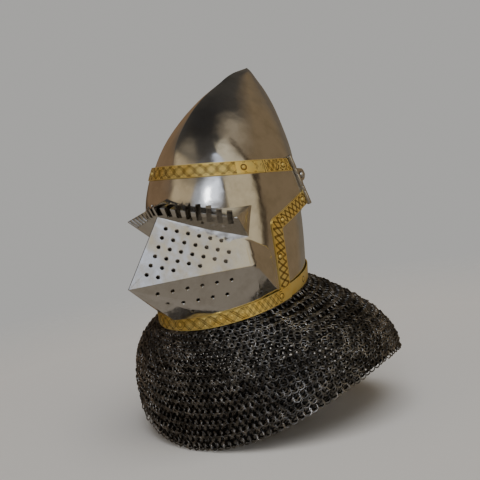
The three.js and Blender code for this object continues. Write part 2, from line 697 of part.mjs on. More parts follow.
function heightOnPlane(angle, zAt, rise) {
  let z = 0;
  for (let k = 0; k < 8; k += 1) z = zAt(surfacePoint(angle, z).y, rise);
  return z;
}

function addRivets(add) {
  for (const { band, zAt, rise, cheeks, lift, angles } of ROUND_RIVETS) {
    angles.forEach((degrees, k) => {
      const angle = THREE.MathUtils.degToRad(degrees);
      const z = heightOnPlane(angle, zAt, rise);
      add(`rivet_${band}_${k + 1}`, rivetAt(angle, z, lift, cheeks || undefined), BRASS);
    });
  }
  SIDE_RIVETS.forEach(({ y, z }, k) => {
    const rivet = rivetAt(angleAt(y, z, CHEEK_REACH), z, BAND_OUTER, CHEEK_REACH);
    add(`rivet_side_left_${k + 1}`, rivet, BRASS);
    add(`rivet_side_right_${k + 1}`, mirrored(rivet), BRASS);
  });
}

function stopRivet() {
  const span = (STOP_Y - EDGE_BEND.y) / (HINGE_BOTTOM.y - EDGE_BEND.y);
  const edgeZ = EDGE_BEND.z + span * (HINGE_BOTTOM.z - EDGE_BEND.z);
  const z = edgeZ - STOP_RADIUS - 2;
  const angle = angleAt(STOP_Y, z);
  const normal = surfaceNormal(angle, z);
  return dome(offsetPoint(angle, z, 0), normal, STOP_RADIUS, STOP_HEIGHT).subtract(ovoid(PIECE_GAP));
}

// Aventail: rings from the tuck inside the rim down to the hem, at these shares of the way. It spreads first
// and falls later, as over shoulders.
const MAIL_ROWS = [0, 0.12, 0.27, 0.45, 0.64, 0.82, 1];
const BULGE_LIFT = 0.3;
const MAIL_STEPS = 36;

function hemPoint(angle) {
  const middle = (HEM_REAR - HEM_FRONT) / 2;
  const y = middle - ((HEM_REAR + HEM_FRONT) / 2) * Math.cos(angle);
  const front = ((1 + Math.cos(angle)) / 2) ** 2;
  const rear = ((1 - Math.cos(angle)) / 2) ** 2;
  const sideDrop = 2 * HEM_SIDE_DROP - (HEM_FRONT_DROP + HEM_REAR_DROP) / 2;
  const drop = HEM_FRONT_DROP * front + HEM_REAR_DROP * rear + sideDrop * (1 - front - rear);
  return new THREE.Vector3(HEM_HALF_WIDTH * Math.sin(angle), y, -drop);
}

// A point of the mail's outer face, at a share of the way from the rim to the hem
function mailPoint(angle, share) {
  const top = offsetPoint(angle, heightOnPlane(angle, rimZ, -1), -MAIL_INSET);
  const hem = hemPoint(angle);
  const back = (1 - Math.cos(angle)) / 2;
  const bulge = (FRONT_BULGE * (1 - back) + REAR_BULGE * back) * share * (1 - share);
  const spread = share + bulge;
  const drop = share - BULGE_LIFT * bulge;
  return new THREE.Vector3(
    top.x + (hem.x - top.x) * spread,
    top.y + (hem.y - top.y) * spread,
    top.z + (hem.z - top.z) * drop,
  );
}

// The same point moved in through the mail's thickness
function innerMailPoint(angle, share) {
  const turn = 0.05;
  const step = 0.03;
  const around = mailPoint(angle + turn, share).sub(mailPoint(angle - turn, share));
  const down = mailPoint(angle, share + step).sub(mailPoint(angle, Math.max(0, share - step)));
  return mailPoint(angle, share).addScaledVector(down.cross(around).normalize(), -MAIL_THICKNESS);
}

function makeAventail() {
  const ring = (pointAt) => {
    const points = [];
    for (let k = 0; k < MAIL_STEPS; k += 1) points.push(pointAt((2 * Math.PI * k) / MAIL_STEPS));
    return points;
  };
  const tuck = (inset) => ring((angle) => offsetPoint(angle, heightOnPlane(angle, rimZ, MAIL_TUCK), -inset));
  const outer = [tuck(MAIL_INSET), ...MAIL_ROWS.map((share) => ring((angle) => mailPoint(angle, share)))];
  const inner = [
    tuck(MAIL_INSET + MAIL_THICKNESS),
    ...MAIL_ROWS.map((share) => ring((angle) => innerMailPoint(angle, share))),
  ];
  return closedWall(outer, inner);
}

const helmet = new THREE.Group();
helmet.position.set(0, -SEAT_Y, -(crownHeight(SEAT_Y) - BOWL_WALL));

// Height of the crest at a distance behind the brow line's middle
function crownHeight(y) {
  let [low, high] = [0, CROWN_HEIGHT];
  for (let k = 0; k < 40; k += 1) {
    const middle = (low + high) / 2;
    if (surfacePoint(0, middle).y < y) low = middle;
    else high = middle;
  }
  return low;
}

function add(name, solid, material) {
  const mesh = new THREE.Mesh(toGeometry(solid), material);
  mesh.name = name;
  helmet.add(mesh);
}

function addPair(name, solid, material) {
  add(`${name}_left`, solid, material);
  add(`${name}_right`, mirrored(solid), material);
}

add("skull", makeSkull(), STEEL);
add("nape_band", napeBand(), BRASS);
add("visor", makeVisor(), STEEL);
add("brow_band", browBand(), BRASS);
add("chin_band", chinBand(), BRASS);
addPair("side_band", sideBand(), BRASS);
addPair("hinge_leaf", hingeLeaf(), BRIGHT_STEEL);
addPair("pivot_arm", pivotArm(), BRIGHT_STEEL);
addPair("hinge_pin", hingePin(), BRIGHT_STEEL);
addPair("pivot_post", pivotPost(), BRIGHT_STEEL);
addPair("stop_rivet", stopRivet(), BRIGHT_STEEL);
addRivets(add);
add("aventail", makeAventail(), BLACK_MAIL);

export default helmet;
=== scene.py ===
"""A pig-faced bascinet: a pointed steel bowl, a lifting visor, brass bands and a mail aventail."""

import logging
import math
import random
from collections.abc import Callable, Iterable
from dataclasses import dataclass, field
from enum import Enum
from functools import cached_property, lru_cache

import bmesh
import bpy
from mathutils import Matrix, Vector


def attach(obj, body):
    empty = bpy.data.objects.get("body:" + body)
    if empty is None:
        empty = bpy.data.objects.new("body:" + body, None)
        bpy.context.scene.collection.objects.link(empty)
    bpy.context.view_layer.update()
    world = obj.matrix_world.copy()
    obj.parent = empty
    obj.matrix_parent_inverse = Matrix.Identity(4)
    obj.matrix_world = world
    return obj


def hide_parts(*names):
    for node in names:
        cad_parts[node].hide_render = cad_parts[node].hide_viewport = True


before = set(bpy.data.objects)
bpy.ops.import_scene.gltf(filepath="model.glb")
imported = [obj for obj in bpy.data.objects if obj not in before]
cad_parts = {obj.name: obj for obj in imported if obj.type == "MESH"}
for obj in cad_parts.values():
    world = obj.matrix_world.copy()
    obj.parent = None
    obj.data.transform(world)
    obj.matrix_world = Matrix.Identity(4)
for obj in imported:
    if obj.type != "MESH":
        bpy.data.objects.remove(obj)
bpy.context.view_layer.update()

LOG = logging.getLogger("bascinet")

MM = 0.001
FAR = 400
DEEP = 900
BOWL_BODY = "bowl"
VISOR_BODY = "face_plate"
SIDES = {"left": 1, "right": -1}
FLIP = Vector((-1, 1, 1))

Form = bmesh.types.BMesh
Edge = bmesh.types.BMEdge
Piece = bpy.types.Object
Plane = Callable[[float, float], float]
Colour = tuple[float, ...]


class Cut(Enum):
    """What a second solid does to a first one."""

    JOIN = "UNION"
    TAKE = "DIFFERENCE"
    KEEP = "INTERSECT"


@dataclass(frozen=True)
class Section:
    """One level of the bowl, in shares of its driving sizes."""

    height: float
    width: float
    front: float
    rear: float
    keel: float
    full: float


@dataclass(frozen=True)
class Oval:
    """The oval at one height, in millimetres, with the keel's height and the rear half's fullness."""

    width: float
    middle: float
    depth: float
    keel: float
    full: float


@dataclass(frozen=True, eq=False)
class BowlShape:
    """The surface that bowl, visor and bands share, laid out from the middle of the brow line."""

    crown_height: float = 142
    side_depth: float = 178
    half_width: float = 103.5
    front_reach: float = 119
    rear_reach: float = 103
    keel_height: float = 14
    keel_angle: float = 1.35
    rear_fullness: float = 0.2
    point_thickening: float = 2
    wall: float = 2
    seat_y: float = 38
    rim_drop: float = 181
    rim_slope: float = 0.1655
    brow_slope: float = -0.105
    cheek_reach: float = 300
    sections: tuple[Section, ...] = (
        Section(1, 0, -0.67, 0.77, 0, 0.5),
        Section(0.96, 0.071, -0.36, 0.81, 0.88, 0.7),
        Section(0.876, 0.169, -0.085, 0.86, 0.95, 0.9),
        Section(0.746, 0.315, 0.275, 0.93, 1, 1),
        Section(0.571, 0.51, 0.59, 0.95, 0.88, 1),
        Section(0.343, 0.71, 0.853, 0.94, 0.56, 1),
        Section(0.076, 0.9, 1, 0.945, 0.18, 0.6),
        Section(-0.182, 0.98, 1.145, 0.965, 0.07, 0.1),
        Section(-0.455, 1, 1.173, 1, 0, 0),
        Section(-0.727, 0.985, 1.182, 0.987, 0, 0),
        Section(-1, 0.958, 1.19, 0.944, 0, 0),
        Section(-1.24, 0.94, 1.19, 0.9, 0, 0),
    )
    levels: tuple[int, ...] = (12, 10, 10, 12, 14, 14, 14, 12, 10, 10, 9)

    def height_of(self, row: Section) -> float:
        """Return a section's height in millimetres."""
        return row.height * (self.crown_height if row.height > 0 else self.side_depth)

    @cached_property
    def curves(self) -> list[tuple[float, float, tuple[tuple[float, ...], ...]]]:
        """Return the cubic of every column between neighbouring sections, on one smooth curve.

        Returns:
            Upper height, height difference and, per column, the cubic's four factors.
        """
        rows = self.sections
        heights = [self.height_of(row) for row in rows]
        sizes = {
            "width": self.half_width,
            "front": self.front_reach,
            "rear": self.rear_reach,
            "keel": self.keel_height,
            "full": self.rear_fullness,
        }
        last = len(rows) - 1

        def slope(key: str, k: int) -> float:
            """Return the slope of one column at a section.

            Args:
                key: The column's name.
                k: The section's number.

            Returns:
                The slope.
            """
            before, after = max(k - 1, 0), min(k + 1, last)
            rise = getattr(rows[after], key) - getattr(rows[before], key)
            return rise / (heights[after] - heights[before])

        curves = []
        for i in range(last):
            span = heights[i + 1] - heights[i]
            factors = []
            for key, size in sizes.items():
                start, end = getattr(rows[i], key), getattr(rows[i + 1], key)
                first, second = slope(key, i) * span, slope(key, i + 1) * span
                cube = 2 * start - 2 * end + first + second
                square = -3 * start + 3 * end - 2 * first - second
                factors.append((cube * size, square * size, first * size, start * size))
            curves.append((heights[i], span, tuple(factors)))
        return curves

    @lru_cache(maxsize=4096)
    def oval(self, z: float) -> Oval:
        """Return the oval at a height over the brow line in millimetres.

        Args:
            z: The height.

        Returns:
            The oval.
        """
        curves = self.curves
        lowest = curves[-1][0] + curves[-1][1]
        level = min(max(z, lowest), curves[0][0])
        i = 0
        while i < len(curves) - 1 and level < curves[i + 1][0]:
            i += 1
        high, span, factors = curves[i]
        t = (level - high) / span
        width, front, rear, keel, full = [((a * t + b) * t + c) * t + d for a, b, c, d in factors]
        fore = keel - front
        return Oval(width, (fore + rear) / 2, (rear - fore) / 2, keel, full)

    def point(self, angle: float, z: float, reach: float = 0) -> Vector:
        """Return a point of the bowl's outer face.

        Args:
            angle: Angle from the front; positive towards the wearer's left.
            z: Height in millimetres.
            reach: Where given, draws the rear half out flat, as the visor's flaps are.

        Returns:
            The point in millimetres.
        """
        s = self.oval(z)
        rear_half = math.cos(angle) < 0
        depth = reach if rear_half and reach else s.depth
        power = 1 - s.full if rear_half else 1
        sine, cosine = math.sin(angle), math.cos(angle)
        across = math.copysign(abs(sine) ** power, sine)
        along = math.copysign(abs(cosine) ** power, cosine)
        crease = max(0.0, 1 - abs(angle) / self.keel_angle) ** 2
        return Vector((s.width * across, s.middle - depth * along - s.keel * crease, z))

    def normal(self, angle: float, z: float, reach: float = 0) -> Vector:
        """Return the outward direction of the face at a point.

        Args:
            angle: Angle from the front in radians.
            z: The height.
            reach: As for point.

        Returns:
            The unit direction.
        """
        around = self.point(angle + 0.02, z, reach) - self.point(angle - 0.02, z, reach)
        up = self.point(angle, z + 0.5, reach) - self.point(angle, z - 0.5, reach)
        return around.cross(up).normalized()

    def offset(self, angle: float, z: float, out: float, reach: float = 0) -> Vector:
        """Return a point of the face, moved out along its normal."""
        return self.point(angle, z, reach) + self.normal(angle, z, reach) * out

    def crown_at(self, y: float) -> float:
        """Return the height of the crest at a distance behind the brow line's middle.

        Args:
            y: The distance.

        Returns:
            The height.
        """
        low, high = 0.0, self.crown_height
        for _ in range(40):
            middle = (low + high) / 2
            if self.point(0, middle).y < y:
                low = middle
            else:
                high = middle
        return low

    def seat(self) -> Vector:
        """Return the point under the crown that becomes the origin."""
        return Vector((0, self.seat_y, self.crown_at(self.seat_y) - self.wall))

    def rim(self, y: float, rise: float = 0) -> float:
        """Return the height of the lower edge's plane, plus a rise."""
        return self.rim_slope * y - self.rim_drop + rise

    def brow(self, y: float, rise: float = 0) -> float:
        """Return the height of the brow band's middle plane, plus a rise."""
        return self.brow_slope * y + rise

    def angle_at(self, y: float, z: float, reach: float = 0) -> float:
        """Return the angle that a place in the side view has on the wearer's left.

        Args:
            y: Depth in the side view.
            z: Height in the side view.
            reach: As for point.

        Returns:
            The angle in radians.
        """
        s = self.oval(z)
        rear_half = y > s.middle
        depth = reach if rear_half and reach else s.depth
        share = min(1.0, abs(y - s.middle) / depth)
        if rear_half:
            return math.pi - math.acos(share ** (1 / (1 - s.full)))
        return math.acos(share)

    def over(self, y: float, z: float, out: float, reach: float = 0) -> Vector:
        """Return the point of the moved-out face that lies at a place in the side view.

        Args:
            y: Depth in the side view.
            z: Height in the side view.
            out: How far the face is moved out.
            reach: As for point.

        Returns:
            The point on the wearer's left.
        """
        aim_y, aim_z = y, z
        spot = self.offset(self.angle_at(aim_y, aim_z, reach), aim_z, out, reach)
        for _ in range(3):
            aim_y += y - spot.y
            aim_z += z - spot.z
            spot = self.offset(self.angle_at(aim_y, aim_z, reach), aim_z, out, reach)
        return spot

    def on_plane(
        self, angle: float, out: float, plane: Plane, rise: float, reach: float = 0
    ) -> Vector:
        """Return the point of the moved-out face at an angle where it meets a plane.

        Args:
            angle: Angle from the front.
            out: How far the face is moved out.
            plane: Gives a height from a depth and a rise.
            rise: Height over the plane.
            reach: As for point.

        Returns:
            The point in millimetres.
        """
        z = plane(self.point(angle, 0, reach).y, rise)
        spot = self.offset(angle, z, out, reach)
        for _ in range(2):
            z += plane(spot.y, rise) - spot.z
            spot = self.offset(angle, z, out, reach)
        return spot


SHAPE = BowlShape()
SEAT = SHAPE.seat()
CHEEKS = SHAPE.cheek_reach


def stored(bm: Form, name: str) -> bpy.types.Mesh:
    """Keep a bmesh as mesh data and free it.

    Args:
        bm: The bmesh.
        name: The data's name.

    Returns:
        The data.
    """
    mesh = bpy.data.meshes.new(name)
    bm.to_mesh(mesh)
    bm.free()
    return mesh


def placed(name: str, data: bpy.types.ID, matrix: Matrix) -> Piece:
    """Add an object to the scene.

    Args:
        name: Its name.
        data: Its mesh, light or camera.
        matrix: Its place and turn.

    Returns:
        The object.
    """
    thing = bpy.data.objects.new(name, data)
    thing.matrix_world = matrix
    bpy.context.scene.collection.objects.link(thing)
    return thing


def looking(azimuth: float, elevation: float) -> Vector:
    """Return the direction at two angles in radians: round from the front, and up."""
    level = math.cos(elevation)
    return Vector((math.sin(azimuth) * level, -math.cos(azimuth) * level, math.sin(elevation)))


def lengths_along(spots: list[Vector]) -> list[float]:
    """Measure a path.

    Args:
        spots: The path's points.

    Returns:
        The length along it at each point.
    """
    lengths = [0.0]
    for a, b in zip(spots, spots[1:]):
        lengths.append(lengths[-1] + (b - a).length)
    return lengths


class Bench:
    """Turns bmeshes in layout millimetres into finished pieces."""

    @staticmethod
    def blank(bm: Form, name: str) -> Piece:
        """Make an object that still is in layout millimetres.

        Args:
            bm: Its mesh, which is freed.
            name: Its name.

        Returns:
            The linked object.
        """
        return placed(name, stored(bm, name), Matrix())

    @staticmethod
    def bake(piece: Piece) -> None:
        """Apply a piece's modifiers to its mesh.

        Args:
            piece: The piece.
        """
        graph = bpy.context.evaluated_depsgraph_get()
        mesh = bpy.data.meshes.new_from_object(piece.evaluated_get(graph))
        piece.modifiers.clear()
        old = piece.data
        piece.data = mesh
        bpy.data.meshes.remove(old)

    @classmethod
    def combine(cls, target: Piece, tool: Piece, cut: Cut) -> Piece:
        """Join, cut or keep a solid with a second one, which is used up.

        Args:
            target: The solid that is changed.
            tool: The second solid.
            cut: What it does.

        Returns:
            The target.
        """
        modifier = target.modifiers.new("cut", "BOOLEAN")
        modifier.operation = cut.value
        modifier.solver = "MANIFOLD"
        modifier.object = tool
        cls.bake(target)
        mesh = tool.data
        bpy.data.objects.remove(tool)
        bpy.data.meshes.remove(mesh)
        return target

    @staticmethod
    def finish(piece: Piece, body: str, finish: "Finish", crease: float = 32) -> Piece:
        """Move a piece to the frame in metres, shade it, dress it and let it ride.

        Args:
            piece: The piece in layout millimetres.
            body: The body it rides on.
            finish: Its material.
            crease: Edges that turn by more degrees stay sharp.

        Returns:
            The piece.
        """
        bm = bmesh.new()
        bm.from_mesh(piece.data)
        bmesh.ops.remove_doubles(bm, verts=bm.verts, dist=1e-4)
        bmesh.ops.dissolve_degenerate(bm, edges=bm.edges, dist=1e-4)
        bmesh.ops.translate(bm, verts=bm.verts, vec=-SEAT)
        bmesh.ops.scale(bm, verts=bm.verts, vec=Vector((MM, MM, MM)))
        limit = math.radians(crease)
        for face in bm.faces:
            face.smooth = True
        for edge in bm.edges:
            edge.smooth = edge.calc_face_angle(0) < limit
        bm.to_mesh(piece.data)
        bm.free()
        piece.data.materials.clear()
        piece.data.materials.append(finish.material())
        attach(piece, body)
        LOG.info("%s: %d faces on %s", piece.name, len(piece.data.polygons), body)
        return piece

    @staticmethod
    def even(piece: Piece) -> None:
        """Let large flat faces set the shading at their edges.

        Args:
            piece: The piece, whose sharp edges are marked.
        """
        modifier = piece.modifiers.new("even", "WEIGHTED_NORMAL")
        modifier.keep_sharp = True
        modifier.weight = 80
        Bench.bake(piece)


def wrapped(columns: int, rows: int, place: Callable[[float, float], Vector]) -> Form:
    """Lay a grid over a surface.

    Args:
        columns: Steps along the first share.
        rows: Steps along the second share.
        place: Gives the point at two shares from 0 to 1.

    Returns:
        The open sheet.
    """
    bm = bmesh.new()
    bmesh.ops.create_grid(bm, x_segments=columns, y_segments=rows, size=1)
    for vert in bm.verts:
        vert.co = place((vert.co.x + 1) / 2, (vert.co.y + 1) / 2)
    return bm


def thickened(bm: Form, inward: float) -> Form:
    """Give a sheet whose faces point outwards a wall on its inner side.

    Args:
        bm: The sheet, which is changed.
        inward: The wall's thickness.

    Returns:
        The solid.
    """
    bmesh.ops.recalc_face_normals(bm, faces=bm.faces)
    bmesh.ops.solidify(bm, geom=bm.faces, thickness=inward)
    bmesh.ops.recalc_face_normals(bm, faces=bm.faces)
    return bm


def spun(bm: Form, steps: int) -> Form:
    """Spin all that a bmesh holds one full turn about +Z.

    Args:
        bm: The profile or section.
        steps: Number of sides.

    Returns:
        The closed solid.
    """
    bmesh.ops.spin(
        bm, geom=bm.verts[:] + bm.edges[:], cent=(0, 0, 0), axis=(0, 0, 1), angle=2 * math.pi, steps=steps,
        use_merge=True,
    )
    bmesh.ops.remove_doubles(bm, verts=bm.verts, dist=1e-5)
    bmesh.ops.recalc_face_normals(bm, faces=bm.faces)
    return bm


def turned(profile: Iterable[tuple[float, float]], steps: int) -> Form:
    """Spin a profile of radius and height about +Z into a closed solid.

    Args:
        profile: Radius and height of each corner.
        steps: Number of sides.

    Returns:
        The solid.
    """
    bm = bmesh.new()
    corners = [bm.verts.new((radius, 0, height)) for radius, height in profile]
    for pair in zip(corners, corners[1:]):
        bm.edges.new(pair)
    return spun(bm, steps)


def bevelled(bm: Form, edges: list[Edge], width: float, segments: int) -> None:
    """Round some edges of a solid.

    Args:
        bm: The solid.
        edges: The edges.
        width: Width of the rounding.
        segments: Steps across it.
    """
    bmesh.ops.bevel(
        bm, geom=edges, offset=width, offset_type="OFFSET", segments=segments, profile=0.5,
        affect="EDGES", material=-1,
    )


def drawn_out(bm: Form, face: bmesh.types.BMFace, way: Vector, keep: bool = False) -> None:
    """Extrude a face and move the new one.

    Args:
        bm: The mesh.
        face: The face.
        way: How far the new face is moved.
        keep: Whether the old face closes the solid.
    """
    drawn = bmesh.ops.extrude_face_region(bm, geom=[face], use_keep_orig=keep)
    moved = [item for item in drawn["geom"] if isinstance(item, bmesh.types.BMVert)]
    bmesh.ops.translate(bm, verts=moved, vec=way)


def put(bm: Form, axis: Vector, place: Vector) -> Form:
    """Turn a mesh's +Z to an axis and move its origin to a place.

    Args:
        bm: The mesh, which is changed.
        axis: Where +Z is to point.
        place: The origin's new place.

    Returns:
        The same mesh.
    """
    turn = Vector((0, 0, 1)).rotation_difference(axis).to_matrix().to_4x4()
    bmesh.ops.transform(bm, verts=bm.verts, matrix=Matrix.Translation(place) @ turn)
    return bm


def pour(into: Form, part: Form) -> None:
    """Add a mesh to another and free it.

    Args:
        into: The mesh that grows.
        part: The mesh that is used up.
    """
    mesh = stored(part, "part")
    into.from_mesh(mesh)
    bpy.data.meshes.remove(mesh)


def mirror_x(bm: Form) -> Form:
    """Turn a left-hand mesh into a right-hand one.

    Args:
        bm: The mesh, which is changed.

    Returns:
        The same mesh.
    """
    bmesh.ops.scale(bm, verts=bm.verts, vec=FLIP)
    bmesh.ops.reverse_faces(bm, faces=bm.faces)
    return bm


def prism(outline: Iterable[tuple[float, float]], low: float = -FAR, high: float = FAR) -> Form:
    """Draw an outline of the side view out along X.

    Args:
        outline: Depth and height of each corner.
        low: Where it starts.
        high: Where it ends.

    Returns:
        The solid.
    """
    bm = bmesh.new()
    face = bm.faces.new([bm.verts.new((low, y, z)) for y, z in outline])
    drawn_out(bm, face, Vector((high - low, 0, 0)), keep=True)
    bmesh.ops.recalc_face_normals(bm, faces=bm.faces)
    return bm


def ovoid(out: float, reach: float = 0, columns: int = 168) -> Form:
    """Make the whole ovoid as a solid, its face moved out.

    Args:
        out: How far the face is moved out.
        reach: As for the shape's points.
        columns: Steps round it, closer together at the crease.

    Returns:
        The solid.
    """
    heights = [SHAPE.height_of(row) for row in SHAPE.sections]
    steps: list[float] = []
    for i, count in enumerate(SHAPE.levels):
        steps += [heights[i] + (heights[i + 1] - heights[i]) * k / count for k in range(count)]
    steps.append(heights[-1])

    def place(across: float, down: float) -> Vector:
        """Return the point at two shares of the grid.

        Args:
            across: Share of the way round.
            down: Share of the way down.

        Returns:
            The point.
        """
        turn = 2 * across - 1
        angle = math.pi * (0.4 * turn + 0.6 * turn**3)
        level = steps[round(down * (len(steps) - 1))]
        if level == steps[0]:
            return SHAPE.point(0, level) + Vector((0, 0, out * SHAPE.point_thickening))
        return SHAPE.offset(angle, level, out, reach)

    bm = wrapped(columns, len(steps) - 1, place)
    bmesh.ops.remove_doubles(bm, verts=bm.verts, dist=1e-3)
    rim = [edge for edge in bm.edges if edge.is_boundary]
    bmesh.ops.contextual_create(bm, geom=rim)
    bmesh.ops.recalc_face_normals(bm, faces=bm.faces)
    return bm


def carved(planes: list[tuple[Vector, Vector]]) -> Form:
    """Cut a large cube down to the convex block inside all planes.

    Args:
        planes: A place on each plane and the direction that leads out of the block.

    Returns:
        The solid.
    """
    block = bmesh.new()
    bmesh.ops.create_cube(block, size=3 * FAR)
    for place, outward in planes:
        geom = block.verts[:] + block.edges[:] + block.faces[:]
        bmesh.ops.bisect_plane(block, geom=geom, dist=1e-4, plane_co=place, plane_no=outward, clear_outer=True)
        loose = [edge for edge in block.edges if edge.is_boundary]
        if loose:
            bmesh.ops.contextual_create(block, geom=loose)
    bmesh.ops.remove_doubles(block, verts=block.verts, dist=1e-3)
    bmesh.ops.dissolve_limit(block, angle_limit=math.radians(0.3), verts=block.verts, edges=block.edges)
    bmesh.ops.recalc_face_normals(block, faces=block.faces)
    return block


def under_rim() -> Form:
    """Return the solid of all that lies under the lower edge's plane."""
    return prism([(-FAR, SHAPE.rim(-FAR)), (FAR, SHAPE.rim(FAR)), (FAR, -DEEP), (-FAR, -DEEP)])


class Wire:
    """A shader socket that takes part in sums as a number does."""

    def __init__(self, graph: "Graph", socket: bpy.types.NodeSocket) -> None:
        """Keep the socket and the graph it belongs to."""
        self.graph = graph
        self.socket = socket

    def __add__(self, other: "Wire | float") -> "Wire":
        """Return the sum."""
        return self.graph.maths("ADD", self, other)

    __radd__ = __add__

    def __sub__(self, other: "Wire | float") -> "Wire":
        """Return the difference."""
        return self.graph.maths("SUBTRACT", self, other)

    def __rsub__(self, other: float) -> "Wire":
        """Return a number less this socket."""
        return self.graph.maths("SUBTRACT", other, self)

    def __mul__(self, other: "Wire | float") -> "Wire":
        """Return the product."""
        return self.graph.maths("MULTIPLY", self, other)

    __rmul__ = __mul__


class Graph:
    """Builds the nodes of one material or world."""

    def __init__(self, tree: bpy.types.NodeTree) -> None:
        """Start on an empty tree."""
        self.tree = tree
        tree.nodes.clear()

    def node(self, kind: str, out: str | int = 0, settings: dict | None = None, **sockets) -> Wire | None:
        """Add a node, set it up and link it.

        Args:
            kind: The node's type.
            out: The output that is returned.
            settings: Attributes that are set first.
            sockets: Values or wires by the input's name, with underscores for spaces.

        Returns:
            The chosen output.
        """
        node = self.tree.nodes.new(kind)
        for key, value in (settings or {}).items():
            if key == "stops":
                self.stops(node.color_ramp, value)
            else:
                setattr(node, key, value)
        for key, value in sockets.items():
            self.feed(self.socket(node, key), value)
        return Wire(self, node.outputs[out]) if node.outputs else None

    @staticmethod
    def socket(node: bpy.types.Node, key: str) -> bpy.types.NodeSocket:
        """Return an enabled input by its name, or by its number after an n.

        Args:
            node: The node.
            key: The name, or n and the number.

        Returns:
            The input.
        """
        if key[0] == "n" and key[1:].isdigit():
            return node.inputs[int(key[1:])]
        name = key.replace("_", " ")
        return next(s for s in node.inputs if s.name == name and s.enabled)

    def feed(self, socket: bpy.types.NodeSocket, value: object) -> None:
        """Link a wire to a socket or set its value.

        Args:
            socket: The input.
            value: A wire, number, colour or vector.
        """
        if isinstance(value, Wire):
            self.tree.links.new(value.socket, socket)
        else:
            socket.default_value = value

    @staticmethod
    def stops(ramp: bpy.types.ColorRamp, stops: list[tuple[float, tuple[float, ...]]]) -> None:
        """Set a ramp's places and colours.

        Args:
            ramp: The ramp.
            stops: Place and colour of each stop.
        """
        while len(ramp.elements) < len(stops):
            ramp.elements.new(0.5)
        for element, (place, colour) in zip(ramp.elements, stops):
            element.position = place
            element.color = (*colour, 1)

    def maths(self, operation: str, *values: "Wire | float") -> Wire:
        """Add a Math node."""
        fed = {f"n{i}": value for i, value in enumerate(values)}
        return self.node("ShaderNodeMath", settings={"operation": operation}, **fed)

    def clamp(self, value: Wire, low: float, high: float) -> Wire:
        """Map a range to 0 to 1 and clamp it."""
        return self.node("ShaderNodeMapRange", n0=value, n1=low, n2=high)

    def blend(self, share: "Wire | float", first: object, second: object) -> Wire:
        """Mix two colours."""
        settings = {"data_type": "RGBA"}
        return self.node("ShaderNodeMix", 2, settings, n0=share, n6=first, n7=second)

    def noise(self, place: Wire, scale: float, detail: float = 3, rough: float = 0.5) -> Wire:
        """Add a noise texture."""
        return self.node("ShaderNodeTexNoise", Vector=place, Scale=scale, Detail=detail, Roughness=rough)

    def stretched(self, place: Wire, scale: tuple[float, ...], turn: tuple[float, ...]) -> Wire:
        """Scale and turn a pattern's coordinates."""
        return self.node("ShaderNodeMapping", Vector=place, Rotation=turn, Scale=scale)


@dataclass
class Finish:
    """A material that is made once."""

    name: str
    made: bpy.types.Material | None = field(default=None, init=False)

    def material(self) -> bpy.types.Material:
        """Return the material, made at its first use.

        Returns:
            The material.
        """
        if self.made is None:
            self.made = bpy.data.materials.new(self.name)
            self.made.use_nodes = True
            self.dress(Graph(self.made.node_tree))
        return self.made

    def dress(self, graph: Graph) -> None:
        """Build the nodes."""
        raise NotImplementedError

    @staticmethod
    def close(graph: Graph, **sockets) -> None:
        """End a graph in a Principled shader and the output."""
        shader = graph.node("ShaderNodeBsdfPrincipled", **sockets)
        graph.node("ShaderNodeOutputMaterial", Surface=shader)


@dataclass
class PolishedSteel(Finish):
    """Hand-polished plate with soft hammer waves, faint scratches and a little staining."""

    light: Colour = (0.79, 0.78, 0.76, 1)
    dull: Colour = (0.66, 0.64, 0.6, 1)
    gloss: float = 0.09
    waves: float = 0.24

    def dress(self, graph: Graph) -> None:
        """Build the nodes.

        Args:
            graph: The material's empty graph.
        """
        place = graph.node("ShaderNodeTexCoord", "Object")
        stain = graph.noise(place, 40, 4, 0.6)
        cloud = graph.noise(place, 30, 2, 0.4)
        grain = graph.noise(graph.stretched(place, (1, 1, 0.06), (0.3, 0.2, 0)), 900, 3, 0.6)
        cross = graph.noise(graph.stretched(place, (0.05, 1, 1), (0.1, 0.5, 0.7)), 700, 3, 0.6)
        scratch = graph.clamp(cross, 0.62, 0.7)
        colour = graph.blend(graph.clamp(stain, 0.42, 0.72), self.light, self.dull)
        rough = self.gloss + 0.07 * graph.clamp(stain, 0.35, 0.75) + 0.04 * grain + 0.05 * scratch
        swell = graph.node("ShaderNodeBump", Strength=self.waves, Distance=0.004, Height=cloud)
        marks = grain + scratch
        fine = graph.node("ShaderNodeBump", Strength=0.06, Distance=0.0002, Height=marks, Normal=swell)
        self.close(graph, Base_Color=colour, Metallic=1.0, Roughness=rough, Normal=fine)


@dataclass
class FileSteel(Finish):
    """Filed and lightly polished fittings."""

    colour: Colour = (0.66, 0.65, 0.63, 1)
    shade: Colour = (0.5, 0.48, 0.45, 1)

    def dress(self, graph: Graph) -> None:
        """Build the nodes.

        Args:
            graph: The material's empty graph.
        """
        place = graph.node("ShaderNodeTexCoord", "Object")
        spots = graph.noise(place, 160, 4, 0.6)
        lines = graph.noise(graph.stretched(place, (1, 1, 0.1), (0.2, 0.1, 0)), 1600, 2, 0.5)
        colour = graph.blend(graph.clamp(spots, 0.55, 0.85), self.colour, self.shade)
        bump = graph.node("ShaderNodeBump", Strength=0.12, Distance=0.0002, Height=lines)
        self.close(graph, Base_Color=colour, Metallic=1.0, Roughness=0.24 + 0.1 * spots, Normal=bump)


